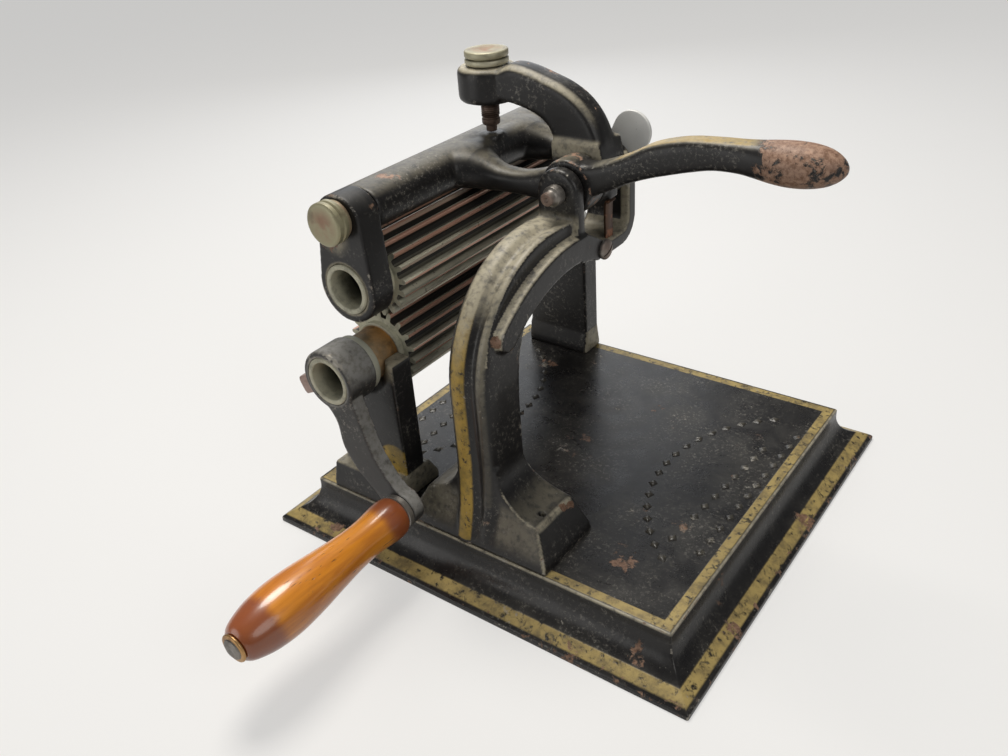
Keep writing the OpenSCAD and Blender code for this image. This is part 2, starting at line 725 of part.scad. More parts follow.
module crank_arm() {
    color(black) in_frame() difference() {
        union() {
            rod_y(roller_x, lower_z, crank_y0, collar_y0, crank_hub_r);
            rod_y(eye_x, eye_z, crank_y0, crank_y0 + crank_t, crank_eye_r);
            along_y(crank_y0, crank_y0 + crank_t) polygon([
                [roller_x - 6, lower_z - 8], [roller_x + 1, lower_z - 21],
                [roller_x + 2.5, lower_z - 36], [roller_x + 10, eye_z + 10.5],
                [eye_x - 11.5, eye_z], [eye_x - 3, eye_z - crank_eye_r + 0.5],
                [eye_x + crank_eye_r - 0.5, eye_z + 3], [eye_x - 3, eye_z + 10.5],
                [eye_x - 12.5, lower_z - 32], [eye_x - 17, lower_z - 18],
                [roller_x + crank_hub_r - 1, lower_z - 4]]);
        }
        rod_y(roller_x, lower_z, crank_y0 - 1, collar_y0 + 1, journal_r + run_clear);
        rod_y(eye_x, eye_z, crank_y0 - 1, crank_y0 + crank_t + 1, spindle_r + run_clear);
        translate([roller_x, set_y, lower_z]) rotate([0, 90 - set_deg, 0])
            cylinder(r = set_r + run_clear, h = 2 * crank_hub_r);
    }
}

// Square-headed screw, radial in the crank's hub
set_y = crank_y0 + crank_hub_l / 2;
module crank_set_screw() {
    color("#9a6a5c") in_frame() translate([roller_x, set_y, lower_z]) rotate([0, 90 - set_deg, 0]) {
        translate([0, 0, journal_r + run_clear])
            cylinder(r = set_r, h = crank_hub_r - journal_r + 3);
        translate([-set_head / 2, -set_head / 2, crank_hub_r + 1.5])
            cube([set_head, set_head, set_head_l]);
    }
}

module crank_collar() {
    color("#c9c3ae") in_frame() difference() {
        rod_y(roller_x, lower_z, collar_y0, collar_y1, collar_r);
        rod_y(roller_x, lower_z, collar_y0 - 1, collar_y1 + 1, journal_r + run_clear);
    }
}

module rear_collar() {
    color(steel) in_frame() difference() {
        rod_y(roller_x, lower_z, rear_collar_y0, rear_collar_y1, rear_collar_r);
        rod_y(roller_x, lower_z, rear_collar_y0 - 1, rear_collar_y1 + 1, journal_r + run_clear);
        translate([roller_x, (rear_collar_y0 + rear_collar_y1) / 2, lower_z])
            cylinder(r = grub_r + run_clear, h = 2 * collar_r);
    }
}

module rear_collar_screw() {
    color(steel) in_frame() translate([roller_x, (rear_collar_y0 + rear_collar_y1) / 2, lower_z])
        translate([0, 0, journal_r + run_clear])
            cylinder(r = grub_r, h = rear_collar_wall);
}

module grip_spindle() {
    color(steel) in_frame() union() {
        rod_y(eye_x, eye_z, grip_washer_y0, crank_y0 + crank_t + 0.8, spindle_r);
        rod_y(eye_x, eye_z, flange_y0, crank_y0, spindle_flange_r);
        rod_y(eye_x, eye_z, grip_washer_y0 - rivet_t, grip_washer_y0, spindle_r + 1.2);
    }
}

// Wooden grip: collar bead, neck, pear-shaped swell and rounded end
module grip() {
    bead = 4;
    neck = 0.24 * grip_l;
    swell = 0.74 * grip_l;
    bore = spindle_r + run_clear;
    color("#a4571c") in_frame() turned_y(eye_x, grip_y1, eye_z, concat(
        [[0, bore], [0, grip_collar_r - 1.2], [1.2, grip_collar_r],
         [bead, grip_collar_r], [bead + 4, grip_neck_r + 0.4], [neck, grip_neck_r]],
        [for (i = [1:10]) let(t = i / 10)
            [neck + (swell - neck) * t,
             grip_neck_r + (grip_swell_r - grip_neck_r) * (1 - cos(180 * t)) / 2]],
        [for (i = [1:10]) let(t = i / 10)
            [swell + (grip_l - swell) * sin(90 * t),
             grip_washer_r + (grip_swell_r - grip_washer_r) * cos(90 * t)]],
        [[grip_l, bore]]));
}

module grip_washer() {
    color("#b08a3c") in_frame() difference() {
        rod_y(eye_x, eye_z, grip_washer_y0, grip_washer_y0 + grip_washer_t, grip_washer_r);
        rod_y(eye_x, eye_z, grip_washer_y0 - 1, grip_y0, spindle_r + run_clear);
    }
}

// Cross-section of the roller bar, with rounded edges
function bar_section() = let(w = bar_hw - bar_round, h = bar_hh - bar_round) concat(
    arc(bar_x + w, bar_z + h, bar_round, 0, 90, 8),
    arc(bar_x - w, bar_z + h, bar_round, 90, 180, 8),
    arc(bar_x - w, bar_z - h, bar_round, 180, 270, 8),
    arc(bar_x + w, bar_z - h, bar_round, 270, 360, 8));

// A fork arm from the bar to its hub of radius r, waisted in the middle
function fork_outline(r) = let(
    mid_x = (bar_x + std_x) / 2 + 4,
    low_z = pivot_z - hub_r + 0.6)
    [[bar_x, bar_z - bar_hh + 1], [mid_x - 14, low_z + 0.4],
     [std_x - 0.32 * r, pivot_z - 0.95 * r], [std_x, pivot_z], [std_x - 0.56 * r, pivot_z + 0.79 * r],
     [mid_x + 6, low_z + fork_waist + 1],
     [mid_x - 6, low_z + fork_waist], [mid_x - 16, low_z + fork_waist + 2],
     [bar_x + 2, bar_top - 0.6]];

module fork_arm(y0, y1, splay, r) {
    turn_x = std_x - hub_r - 1;
    intersection() {
        along_y(y0 - fork_splay, y1 + fork_splay) polygon(fork_outline(r));
        linear_extrude(2 * pivot_z) polygon([
            [std_x, y0], [std_x, y1], [turn_x, y1], [bar_x, y1 + splay], [bar_x, y0 + splay],
            [turn_x, y0]]);
    }
}

// Side outline of the handle's neck, from the hub to the egg
egg_x = std_x + handle_reach - egg_l;
egg_z = pivot_z + handle_rise - 0.5;
function handle_outline() = let(rise = pivot_z + handle_rise, x = std_x)
    [[x, pivot_z - 4], [x + 10, pivot_z - 4], [x + 29, pivot_z + 5.5],
     [x + 0.46 * (egg_x - x) + 14, rise - neck_t], [x + 0.82 * (egg_x - x), rise - 0.7 * neck_t],
     [egg_x + 6, rise - 6], [egg_x + 6, rise + 6], [x + 0.9 * (egg_x - x), rise + 5],
     [x + 0.62 * (egg_x - x), rise + 4], [x + 36, rise - 1.6], [x + 26, pivot_z + 16.8],
     [x + 14, pivot_z + 11], [x + 5, pivot_z + hub_r - 1.4], [x, pivot_z + hub_r - 1]];

module lever() {
    handle_y = hub_f1 - handle_w / 2;
    color(black) in_frame() difference() {
        union() {
            along_y(hanger_f1, hanger_r0) polygon(bar_section());
            rod_y(std_x, pivot_z, hub_f0, hub_f1, hub_r);
            rod_y(std_x, pivot_z, hub_r0, hub_r1, rear_hub_r);
            fork_arm(hub_f0, hub_f1, -fork_splay, hub_r);
            fork_arm(hub_r0, hub_r1, fork_splay, rear_hub_r);
            translate([bar_x, hub_f1 - 2, bar_z - 2])
                cube([screw_x + pad_r - bar_x, hub_r0 - hub_f1 + 4, bar_hh + 1.4]);
            translate([screw_x, mech_y, bar_z]) cylinder(r = pad_r, h = bar_hh + pad_h);
            along_y(hub_f1 - handle_w, hub_f1) polygon(handle_outline());
            translate([egg_x, handle_y, egg_z]) rotate([0, 90, 0])
                rotate_extrude() polygon(concat(
                    [[0, 0]],
                    [for (i = [0:20]) let(t = i / 20)
                        [egg_r * pow(sin(180 * t), 0.75) * (0.82 + 0.18 * t) + 0.02,
                         egg_l * (1 - cos(180 * t)) / 2]],
                    [[0, egg_l]]));
        }
        rod_y(std_x, pivot_z, hub_f0 - 1, hub_r1 + 1, pin_r + run_clear);
        rod_y(std_x, pivot_z, ear_f0 - 1, hub_f0, ear_r + 1.5);
        rod_y(bar_x, bar_z, hanger_f1 - 1, hanger_f1 + stud_in + 0.5, stud_r + run_clear);
        rod_y(bar_x, bar_z, hanger_r0 - stud_in - 0.5, hanger_r0 + 1, stud_r + run_clear);
    }
}

// A hanger between the bar's stud and the upper roller's journal
module hanger(y0, y1) {
    difference() {
        union() {
            rod_y(bar_x, bar_z, y0, y1, hanger_top_r);
            rod_y(roller_x, upper_z, y0, y1, hanger_low_r);
            along_y(y0, y1) polygon([
                [bar_x - hanger_top_r, bar_z], [roller_x - hanger_low_r, upper_z],
                [roller_x + hanger_low_r, upper_z], [bar_x + hanger_top_r, bar_z]]);
        }
        rod_y(bar_x, bar_z, y0 - 1, y1 + 1, stud_r + run_clear);
        rod_y(roller_x, upper_z, y0 - 1, y1 + 1, journal_r + run_clear);
    }
}

module front_hanger() {
    color(black) in_frame() hanger(hanger_f0, hanger_f1);
}

module rear_hanger() {
    color(black) in_frame() hanger(hanger_r0, hanger_r1);
}

module hanger_studs() {
    color(steel) in_frame() {
        rod_y(bar_x, bar_z, knob_f0 + stud_end, hanger_f1 + stud_in, stud_r);
        rod_y(bar_x, bar_z, hanger_r0 - stud_in, knob_r1 - stud_end, stud_r);
    }
}

module hanger_washers() {
    color("#8f8a6a") in_frame() difference() {
        union() {
            rod_y(bar_x, bar_z, knob_f1, hanger_f0, washer_r);
            rod_y(bar_x, bar_z, hanger_r1, knob_r0, washer_r);
        }
        rod_y(bar_x, bar_z, knob_f1 - 1, knob_r0 + 1, stud_r + run_clear);
    }
}

// Bronze nut with a turned edge, closed at its outer end
module knob_nut(y0, y1, bore_y0, bore_y1) {
    edge = 0.8;
    difference() {
        turned_y(bar_x, y1, bar_z, [
            [0, 0], [0, knob_nut_r - edge], [edge, knob_nut_r],
            [y1 - y0 - edge, knob_nut_r], [y1 - y0, knob_nut_r - edge], [y1 - y0, 0]]);
        rod_y(bar_x, bar_z, bore_y0, bore_y1, stud_r + run_clear);
    }
}

module front_knob_nut() {
    color("#6d6747") in_frame() knob_nut(knob_f0, knob_f1, knob_f0 + stud_end, knob_f1 + 1);
}

module rear_knob_nut() {
    color("#6d6747") in_frame() knob_nut(knob_r0, knob_r1, knob_r0 - 1, knob_r1 - stud_end);
}

// Side outline of the gooseneck, from the boss over the crown to the hub
function neck_outline() = let(
    crown = pivot_z + arm_rise,
    back = std_x + hub_r - arm_back,
    throat = std_x - hub_r - 2,
    clear_x = screw_x + knob_r + 0.8,
    bend = 26) concat(
    [[screw_x, boss_z1], [clear_x, boss_z1], [clear_x + 4, crown - 1.5]],
    arc(back - bend, crown - 6 - bend, bend, 70, 8, 12),
    [[back, pivot_z + 10], [throat, pivot_z + 10], [throat, pivot_z + 17],
     [throat - 7, crown - arm_t - 5], [screw_x + 20, crown - arm_t - 2.5],
     [screw_x, crown - arm_t - 1]]);

module pressure_arm() {
    arm_f = mech_y - arm_w / 2;
    color(black) in_frame() difference() {
        union() {
            rod_y(std_x, pivot_z, arm_y0, arm_y1, hub_r);
            translate([std_x - hub_r - 2, arm_y0, pivot_z])
                cube([2 * hub_r, arm_hub_l, hub_r + 4]);
            along_y(arm_f, arm_f + arm_w) polygon(neck_outline());
            translate([screw_x, mech_y, boss_z1 - boss_h]) cylinder(r = boss_r, h = boss_h);
            along_y(heel_y0, heel_y1) polygon([
                [std_x, pivot_z], [leaf_x0 - 2, heel_z], [heel_x1, heel_z],
                [heel_x1, pivot_z + 1], [std_x + 8, pivot_z + 6]]);
        }
        rod_y(std_x, pivot_z, arm_y0 - 1, arm_y1 + 1, pin_r + run_clear);
        translate([screw_x, mech_y, boss_z1 - 2 * boss_h])
            cylinder(r = screw_r + run_clear, h = 3 * boss_h);
    }
}

module pressure_screw() {
    color("#6b5a4a") in_frame() translate([screw_x, mech_y, 0]) rotate_extrude() polygon([
        [0, tip_z], [tip_r, tip_z], [tip_r, tip_z + tip_l], [screw_r, tip_z + tip_l + 1.5],
        [screw_r, knob_z0 + knob_h - 1], [0, knob_z0 + knob_h - 1]]);
}

// Turned knob: two discs with a groove between
module screw_knob() {
    disc = (knob_h - knob_groove) / 2;
    edge = 0.5;
    z1 = knob_z0 + disc;
    z2 = z1 + knob_groove;
    z3 = knob_z0 + knob_h;
    color("#6d6747") in_frame() translate([screw_x, mech_y, 0]) difference() {
        rotate_extrude() polygon([
            [0, knob_z0], [knob_r - edge, knob_z0], [knob_r, knob_z0 + edge],
            [knob_r, z1 - edge], [knob_r - edge, z1], [knob_r - 2.5, z1], [knob_r - 2.5, z2],
            [knob_r - edge, z2], [knob_r, z2 + edge], [knob_r, z3 - 2 * edge],
            [knob_r - 2 * edge, z3], [0, z3]]);
        translate([0, 0, knob_z0 - 1]) cylinder(r = screw_r + run_clear, h = knob_h + 0.3);
    }
}

base_plate();
standard();
front_post();
rear_post();
standard_bolts();
post_bolts();
pivot_pin();
pin_finger_plate();
heel_spring();
spring_screw();
lower_roller();
crank_arm();
crank_set_screw();
crank_collar();
rear_collar();
rear_collar_screw();
grip_spindle();
grip();
grip_washer();
lever();
front_hanger();
rear_hanger();
hanger_studs();
hanger_washers();
front_knob_nut();
rear_knob_nut();
upper_roller();
pressure_arm();
pressure_screw();
screw_knob();
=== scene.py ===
"""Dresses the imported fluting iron: worn black castings, fluted rollers, wooden grip and brass.

Shapes are written in millimetres from the middle of the base plate and moved into the frame's
metres when a mesh is made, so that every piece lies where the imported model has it.
"""

import logging
import math
from contextlib import contextmanager
from dataclasses import dataclass, field
from enum import Enum
from functools import partialmethod
from typing import Callable, Iterable, Iterator, Optional, Sequence

import bmesh
import bpy
import numpy as np
from mathutils import Matrix, Vector


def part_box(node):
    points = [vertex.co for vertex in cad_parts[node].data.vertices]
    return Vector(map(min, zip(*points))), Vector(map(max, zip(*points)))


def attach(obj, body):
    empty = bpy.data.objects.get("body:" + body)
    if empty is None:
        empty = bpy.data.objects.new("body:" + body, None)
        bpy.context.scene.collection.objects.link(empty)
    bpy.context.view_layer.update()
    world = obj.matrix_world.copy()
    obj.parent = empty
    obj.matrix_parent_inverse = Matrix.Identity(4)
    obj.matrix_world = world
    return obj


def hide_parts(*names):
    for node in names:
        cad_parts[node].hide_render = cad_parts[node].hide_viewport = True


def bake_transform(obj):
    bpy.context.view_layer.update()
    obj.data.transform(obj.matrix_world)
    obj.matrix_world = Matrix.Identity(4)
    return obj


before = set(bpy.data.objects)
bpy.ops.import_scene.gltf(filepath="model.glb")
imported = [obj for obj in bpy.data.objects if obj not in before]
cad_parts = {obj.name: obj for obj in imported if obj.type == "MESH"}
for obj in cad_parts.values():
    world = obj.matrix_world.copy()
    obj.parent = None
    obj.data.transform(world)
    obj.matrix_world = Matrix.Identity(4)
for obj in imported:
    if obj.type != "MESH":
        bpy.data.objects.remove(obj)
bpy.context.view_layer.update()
LOG = logging.getLogger("fluting_iron")

MM = 0.001
Point = tuple[float, float, float]
Flat = tuple[float, float]
Outline = list[Flat]
Colour = tuple[float, float, float]
Array = np.ndarray
Thing = bpy.types.Object
Material = bpy.types.Material
Mesh = bpy.types.Mesh
Socket = bpy.types.NodeSocket
Tree = bpy.types.NodeTree
Sockets = dict[str, Socket]

_LOW, _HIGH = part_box("base_plate")
MIDDLE = Vector(((_LOW[0] + _HIGH[0]) / 2, (_LOW[1] + _HIGH[1]) / 2, 0))

# X and Z of the pivot pin, radius of the holes that it runs in, and height of the lever's bar.
PIVOT: Flat = (0, 162)
PIN_BORE = 4.8
BAR_Z = 163.0

# Bends, in turns per millimetre, at which the edge of a casting and of a turned piece count as worn,
# and the angle in degrees above which a turned piece's edge stays sharp.
CAST_REACH = 0.42
TURNED_REACH = 0.6
TURNED_SHARP = 40.0


class Axis(Enum):
    """Axis that a turned piece runs along."""

    X = 0
    Y = 1
    Z = 2


class Body(Enum):
    """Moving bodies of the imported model."""

    FRAME = "frame"
    CRANK = "crank"
    GRIP = "grip"
    LEVER = "lever"
    UPPER = "upper_roller"
    ARM = "pressure_arm"
    SCREW = "pressure_screw"
    KNOB = "screw_knob"


class Slot(Enum):
    """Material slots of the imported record."""

    JAPAN = "japanned_iron"
    ROLLER = "roller_iron"
    BARE = "bare_steel"
    BOLT = "bolt_steel"
    SPRING = "spring_steel"
    BRONZE = "bronze"
    BRASS = "brass"
    WOOD = "grip_wood"


def placed(point: Sequence[float]) -> Vector:
    """Turns millimetres from the base's middle into metres in the frame."""
    return Vector(point) * MM + MIDDLE


def span(node: str) -> tuple[Vector, Vector]:
    """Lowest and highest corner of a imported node's box, in millimetres from the base's middle."""
    low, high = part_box(node)
    return (Vector(low) - MIDDLE) / MM, (Vector(high) - MIDDLE) / MM


def centre(node: str) -> Vector:
    """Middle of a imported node's box, in millimetres from the base's middle."""
    low, high = span(node)
    return (low + high) / 2


def arc(x: float, y: float, r: float, start: float, end: float, count: int = 16) -> Outline:
    """Points of an arc about a centre, in count steps between two angles in degrees."""
    angles = [math.radians(start + (end - start) * i / count) for i in range(count + 1)]
    return [(x + r * math.cos(a), y + r * math.sin(a)) for a in angles]


def curve(points: Sequence[Sequence[float]], steps: int = 6, closed: bool = False) -> list[tuple[float, ...]]:
    """Runs a smooth curve through points.

    Args:
        points: Points of any dimension.
        steps: Steps between two points.
        closed: Whether the last point joins the first.

    Returns:
        Points of the smooth curve.
    """
    pts = [np.array(p, float) for p in points]
    n = len(pts)
    out: list[tuple[float, ...]] = []
    for i in range(n if closed else n - 1):
        if closed:
            a, b, c, d = (pts[(i + k) % n] for k in (-1, 0, 1, 2))
        else:
            a, b, c, d = (pts[min(max(i + k, 0), n - 1)] for k in (-1, 0, 1, 2))
        for s in range(steps):
            t = s / steps
            out.append(tuple(0.5 * (2 * b + (c - a) * t + (2 * a - 5 * b + 4 * c - d) * t * t
                                    + (3 * b - a - 3 * c + d) * t ** 3)))
    if not closed:
        out.append(tuple(pts[-1]))
    return out


def shifted(points: Outline, distance: float | Array) -> Outline:
    """Moves an open line sideways, to the left of its direction.

    Args:
        points: The line.
        distance: How far it moves, for the whole line or for each point.

    Returns:
        The moved line.
    """
    p = np.array(points, float)
    along = np.gradient(p, axis=0)
    along /= np.linalg.norm(along, axis=1, keepdims=True) + 1e-9
    side = np.stack([-along[:, 1], along[:, 0]], axis=1)
    return [tuple(q) for q in p + side * np.reshape(distance, (-1, 1))]


def inset(points: Outline, distance: float | Array) -> Outline:
    """Draws a closed outline in by a distance.

    Args:
        points: The outline, in either direction.
        distance: How far it is drawn in, for the whole outline or for each point.

    Returns:
        The smaller outline, with as many points.
    """
    p = np.array(points, float)
    step = np.roll(p, -1, axis=0) - np.roll(p, 1, axis=0)
    step /= np.linalg.norm(step, axis=1, keepdims=True) + 1e-9
    after = np.roll(p, -1, axis=0)
    turn = np.sign(np.sum(p[:, 0] * after[:, 1] - after[:, 0] * p[:, 1]))
    side = np.stack([-step[:, 1], step[:, 0]], axis=1) * turn
    return [tuple(q) for q in p + side * np.reshape(distance, (-1, 1))]


def rounded(half_w: float, half_h: float, power: float, count: int = 32) -> Outline:
    """Outline between an oval and a rectangle.

    Args:
        half_w: Half width.
        half_h: Half height.
        power: 2 for an oval, more for squarer corners.
        count: Number of points.

    Returns:
        The closed outline about the origin.
    """
    out: Outline = []
    for i in range(count):
        a = 2 * math.pi * i / count
        c, s = math.cos(a), math.sin(a)
        out.append((half_w * math.copysign(abs(c) ** (2 / power), c),
                    half_h * math.copysign(abs(s) ** (2 / power), s)))
    return out


def set_along(axis: Axis, at: float, flat: Flat) -> Point:
    """Point at a place along an axis, with its two other coordinates in order."""
    u, v = flat
    return {Axis.X: (at, u, v), Axis.Y: (u, at, v), Axis.Z: (u, v, at)}[axis]


def linked(name: str, data: bpy.types.ID) -> Thing:
    """Makes an object of some data and puts it into the scene.

    Args:
        name: Name of the object.
        data: Its mesh, lamp or camera.

    Returns:
        The object.
    """
    made = bpy.data.objects.new(name, data)
    bpy.context.scene.collection.objects.link(made)
    return made


@contextmanager
def edited(mesh: Mesh) -> Iterator[bmesh.types.BMesh]:
    """Opens a mesh for editing and writes it back at the end.

    Args:
        mesh: The mesh.

    Yields:
        The mesh as it is edited.
    """
    work = bmesh.new()
    work.from_mesh(mesh)
    yield work
    work.to_mesh(mesh)
    work.free()


class Form:
    """Closed shells of one piece, in millimetres from the base's middle."""

    def __init__(self, name: str) -> None:
        """Starts an empty form with the name of its piece.

        Args:
            name: Name of the piece.
        """
        self.name = name
        self.points: list[Point] = []
        self.faces: list[tuple[int, ...]] = []

    def rings(self, rings: Sequence[Sequence[Point]], closed: bool = False) -> "Form":
        """Joins rings of as many points each into a shell.

        Args:
            rings: The rings in order.
            closed: Whether the last ring joins the first; otherwise both ends are capped.

        Returns:
            This form.
        """
        first, n = len(self.points), len(rings[0])
        for ring in rings:
            self.points.extend(tuple(p) for p in ring)
        for k in range(len(rings) if closed else len(rings) - 1):
            a, b = first + k * n, first + (k + 1) % len(rings) * n
            for i in range(n):
                j = (i + 1) % n
                self.faces.append((a + i, a + j, b + j, b + i))
        if not closed:
            self.faces.append(tuple(range(first + n - 1, first - 1, -1)))
            last = first + (len(rings) - 1) * n
            self.faces.append(tuple(range(last, last + n)))
        return self

    def layers(self, axis: Axis, layers: Sequence[tuple[float, Outline]]) -> "Form":
        """Joins flat outlines, each with its place along the axis that they stand across."""
        return self.rings([[set_along(axis, at, p) for p in line] for at, line in layers])

    def prism(self, axis: Axis, outline: Outline, start: float, end: float, edge: float = 0) -> "Form":
        """Draws an outline out along an axis.

        Args:
            axis: Axis of the prism.
            outline: Closed outline across it.
            start: Where it starts.
            end: Where it ends.
            edge: Bevel of both ends' edges.

        Returns:
            This form.
        """
        if not edge:
            return self.layers(axis, [(start, outline), (end, outline)])
        small = inset(outline, edge)
        return self.layers(axis, [(start, small), (start + edge, outline), (end - edge, outline), (end, small)])

    def turned(self, axis: Axis, middle: Flat, profile: Outline, count: int = 64, closed: bool = False) -> "Form":
        """Turns a profile about an axis.

        Args:
            axis: Axis that it turns about.
            middle: The two other coordinates of the axis, in order.
            profile: Place along the axis and radius.
            count: Number of sides.
            closed: Whether the profile is a closed line off the axis.

        Returns:
            This form.
        """
        x, y = middle
        angles = [2 * math.pi * i / count for i in range(count)]
        return self.rings([[set_along(axis, at, (x + r * math.cos(a), y + r * math.sin(a))) for a in angles]
                           for at, r in profile], closed)

    def build(self) -> Thing:
        """Makes the piece's object, with its doubles merged and its faces outwards.

        Returns:
            The object.
        """
        mesh = bpy.data.meshes.new(self.name)
        mesh.from_pydata([placed(p) for p in self.points], [], self.faces)
        with edited(mesh) as work:
            bmesh.ops.remove_doubles(work, verts=work.verts, dist=2e-7)
            bmesh.ops.dissolve_degenerate(work, edges=work.edges, dist=1e-7)
            bmesh.ops.recalc_face_normals(work, faces=work.faces)
        return linked(self.name, mesh)


def beaded(start: float, end: float, r: float, edge: float = 0.5, bore: float = 0) -> Outline:
    """Profile of a disc or ring with bevelled edges.

    Args:
        start: Where it starts along its axis.
        end: Where it ends.
        r: Outer radius.
        edge: Bevel of the outer edges.
        bore: Radius of its hole, or 0 for a disc.

    Returns:
        The profile, closed when it has a bore.
    """
    outer = [(start, r - edge), (start + 0.35 * edge, r - 0.3 * edge), (start + edge, r),
             (end - edge, r), (end - 0.35 * edge, r - 0.3 * edge), (end, r - edge)]
    return [(start, bore)] + outer + [(end, bore)]


def drill(axis: Axis, middle: Flat, r: float, start: float, end: float, count: int = 64) -> Thing:
    """Makes a round tool that is cut out of a casting, from start to end along an axis."""
    return Form("cut").turned(axis, middle, [(start, 0), (start, r), (end, r), (end, 0)], count).build()


def evaluated(piece: Thing) -> None:
    """Turns a piece's modifiers into its plain mesh.

    Args:
        piece: The object.
    """
    graph = bpy.context.evaluated_depsgraph_get()
    mesh = bpy.data.meshes.new_from_object(piece.evaluated_get(graph), depsgraph=graph)
    piece.modifiers.clear()
    old, piece.data = piece.data, mesh
    mesh.name = piece.name
    bpy.data.meshes.remove(old)


def discard(piece: Thing) -> None:
    """Removes a helper object and its mesh.

    Args:
        piece: The object.
    """
    mesh = piece.data
    bpy.data.objects.remove(piece)
    bpy.data.meshes.remove(mesh)


def subtract(piece: Thing, tool: Thing) -> None:
    """Adds the cut of a tool to a piece's modifiers.

    Args:
        piece: The object that is cut.
        tool: The object that cuts it.
    """
    mod = piece.modifiers.new("Cut", "BOOLEAN")
    mod.operation = "DIFFERENCE"
    mod.solver = "EXACT"
    mod.object = tool


def cast(piece: Thing, voxel: float = 0.75, rounds: int = 6,
         cutters: Iterable[Thing] = ()) -> Thing:
    """Melts a piece's shells into one casting with soft edges.

    Args:
        piece: Object of closed shells.
        voxel: Size of the remesh in millimetres.
        rounds: Rounds of smoothing.
        cutters: Objects cut out of it, which are used up.

    Returns:
        The same object with its new mesh.
    """
    def remesh() -> None:
        """Adds a remesh to the piece's modifiers."""
        mod = piece.modifiers.new("Melt", "REMESH")
        mod.mode = "VOXEL"
        mod.voxel_size = voxel * MM

    remesh()
    tools = list(cutters)
    for tool in tools:
        subtract(piece, tool)
    if tools:
        evaluated(piece)
        for tool in tools:
            discard(tool)
        remesh()
    mod = piece.modifiers.new("Soften", "SMOOTH")
    mod.factor = 0.5
    mod.iterations = rounds
    evaluated(piece)
    return piece


def node_copy(node: str) -> Thing:
    """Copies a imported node's mesh into a new object, with its doubles merged.

    Args:
        node: Name of the node.

    Returns:
        The new object.
    """
    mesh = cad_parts[node].data.copy()
    mesh.materials.clear()
    with edited(mesh) as work:
        bmesh.ops.remove_doubles(work, verts=work.verts, dist=1e-6)
    return linked(node + "_piece", mesh)


def joined(piece: Thing, others: Iterable[Thing]) -> Thing:
    """Joins other objects' meshes into a piece.

    Args:
        piece: The object that stays.
        others: Objects that are used up.

    Returns:
        The piece.
    """
    with edited(piece.data) as work:
        for other in others:
            work.from_mesh(other.data)
            discard(other)
    return piece


def mesh_arrays(mesh: Mesh) -> tuple[Array, Array]:
    """Reads a mesh's points in millimetres from the base's middle, and its normals.

    Args:
        mesh: The mesh.

    Returns:
        Points and normals, one row each.
    """
    n = len(mesh.vertices)
    co, normal = np.empty(3 * n), np.empty(3 * n)
    mesh.vertices.foreach_get("co", co)
    mesh.vertex_normals.foreach_get("vector", normal)
    return (co.reshape(n, 3) - np.array(MIDDLE)) / MM, normal.reshape(n, 3)


def store(mesh: Mesh, name: str, values: Array) -> None:
    """Keeps one number from 0 to 1 for each point of a mesh, as a named attribute."""
    layer = mesh.attributes.get(name) or mesh.attributes.new(name, "FLOAT", "POINT")
    layer.data.foreach_set("value", np.clip(values, 0, 1).astype(np.float32))


def ramp(values: Array, start: float, end: float) -> Array:
    """Runs smoothly from 0 at start to 1 at end."""
    t = np.clip((values - start) / (end - start), 0, 1)
    return t * t * (3 - 2 * t)


def between(values: Array, low: float, high: float, soft: float = 0.3) -> Array:
    """Mask that is 1 between two values, with soft ends."""
    return ramp(values, low - soft, low + soft) * ramp(values, high + soft, high - soft)


class Skin:
    """Points of a mesh in millimetres from the base's middle, with their normals."""

    def __init__(self, co: Array, normal: Array) -> None:
        """Splits points and normals into coordinates.

        Args:
            co: Points, one row each.
            normal: Normals, one row each.
        """
        self.co = co
        self.x, self.y, self.z = co.T
        self.nx, self.ny, self.nz = normal.T

    def off(self, axis: Axis, middle: Flat) -> Array:
        """Distance from an axis, which is given by its two other coordinates."""
        u, v = (self.co[:, i] for i in range(3) if i != axis.value)
        return np.hypot(u - middle[0], v - middle[1])

    def near(self, spots: Sequence[Sequence[float]], core: float = 0.3) -> Array:
        """Mask that is 1 in the core of spots, each a place and a radius, and fades out at the radius."""
        far = [np.linalg.norm(self.co[:, :len(s) - 1] - np.array(s[:-1]), axis=1) / s[-1] for s in spots]
        return ramp(np.min(far, axis=0), 1, core)

    def along(self, start: Point, end: Point, reach: float) -> Array:
        """Mask that is 1 along a straight line and fades out at a distance from it.

        Args:
            start: Where the line starts.
            end: Where it ends.
            reach: Distance at which the mask is 0.

        Returns:
            The mask.
        """
        a, line = np.array(start), np.array(end) - np.array(start)
        t = np.clip((self.co - a) @ line / (line @ line), 0, 1)
        return ramp(np.linalg.norm(self.co - a - t[:, None] * line, axis=1), reach, 0.4 * reach)


Mask = Callable[[Skin], Array]


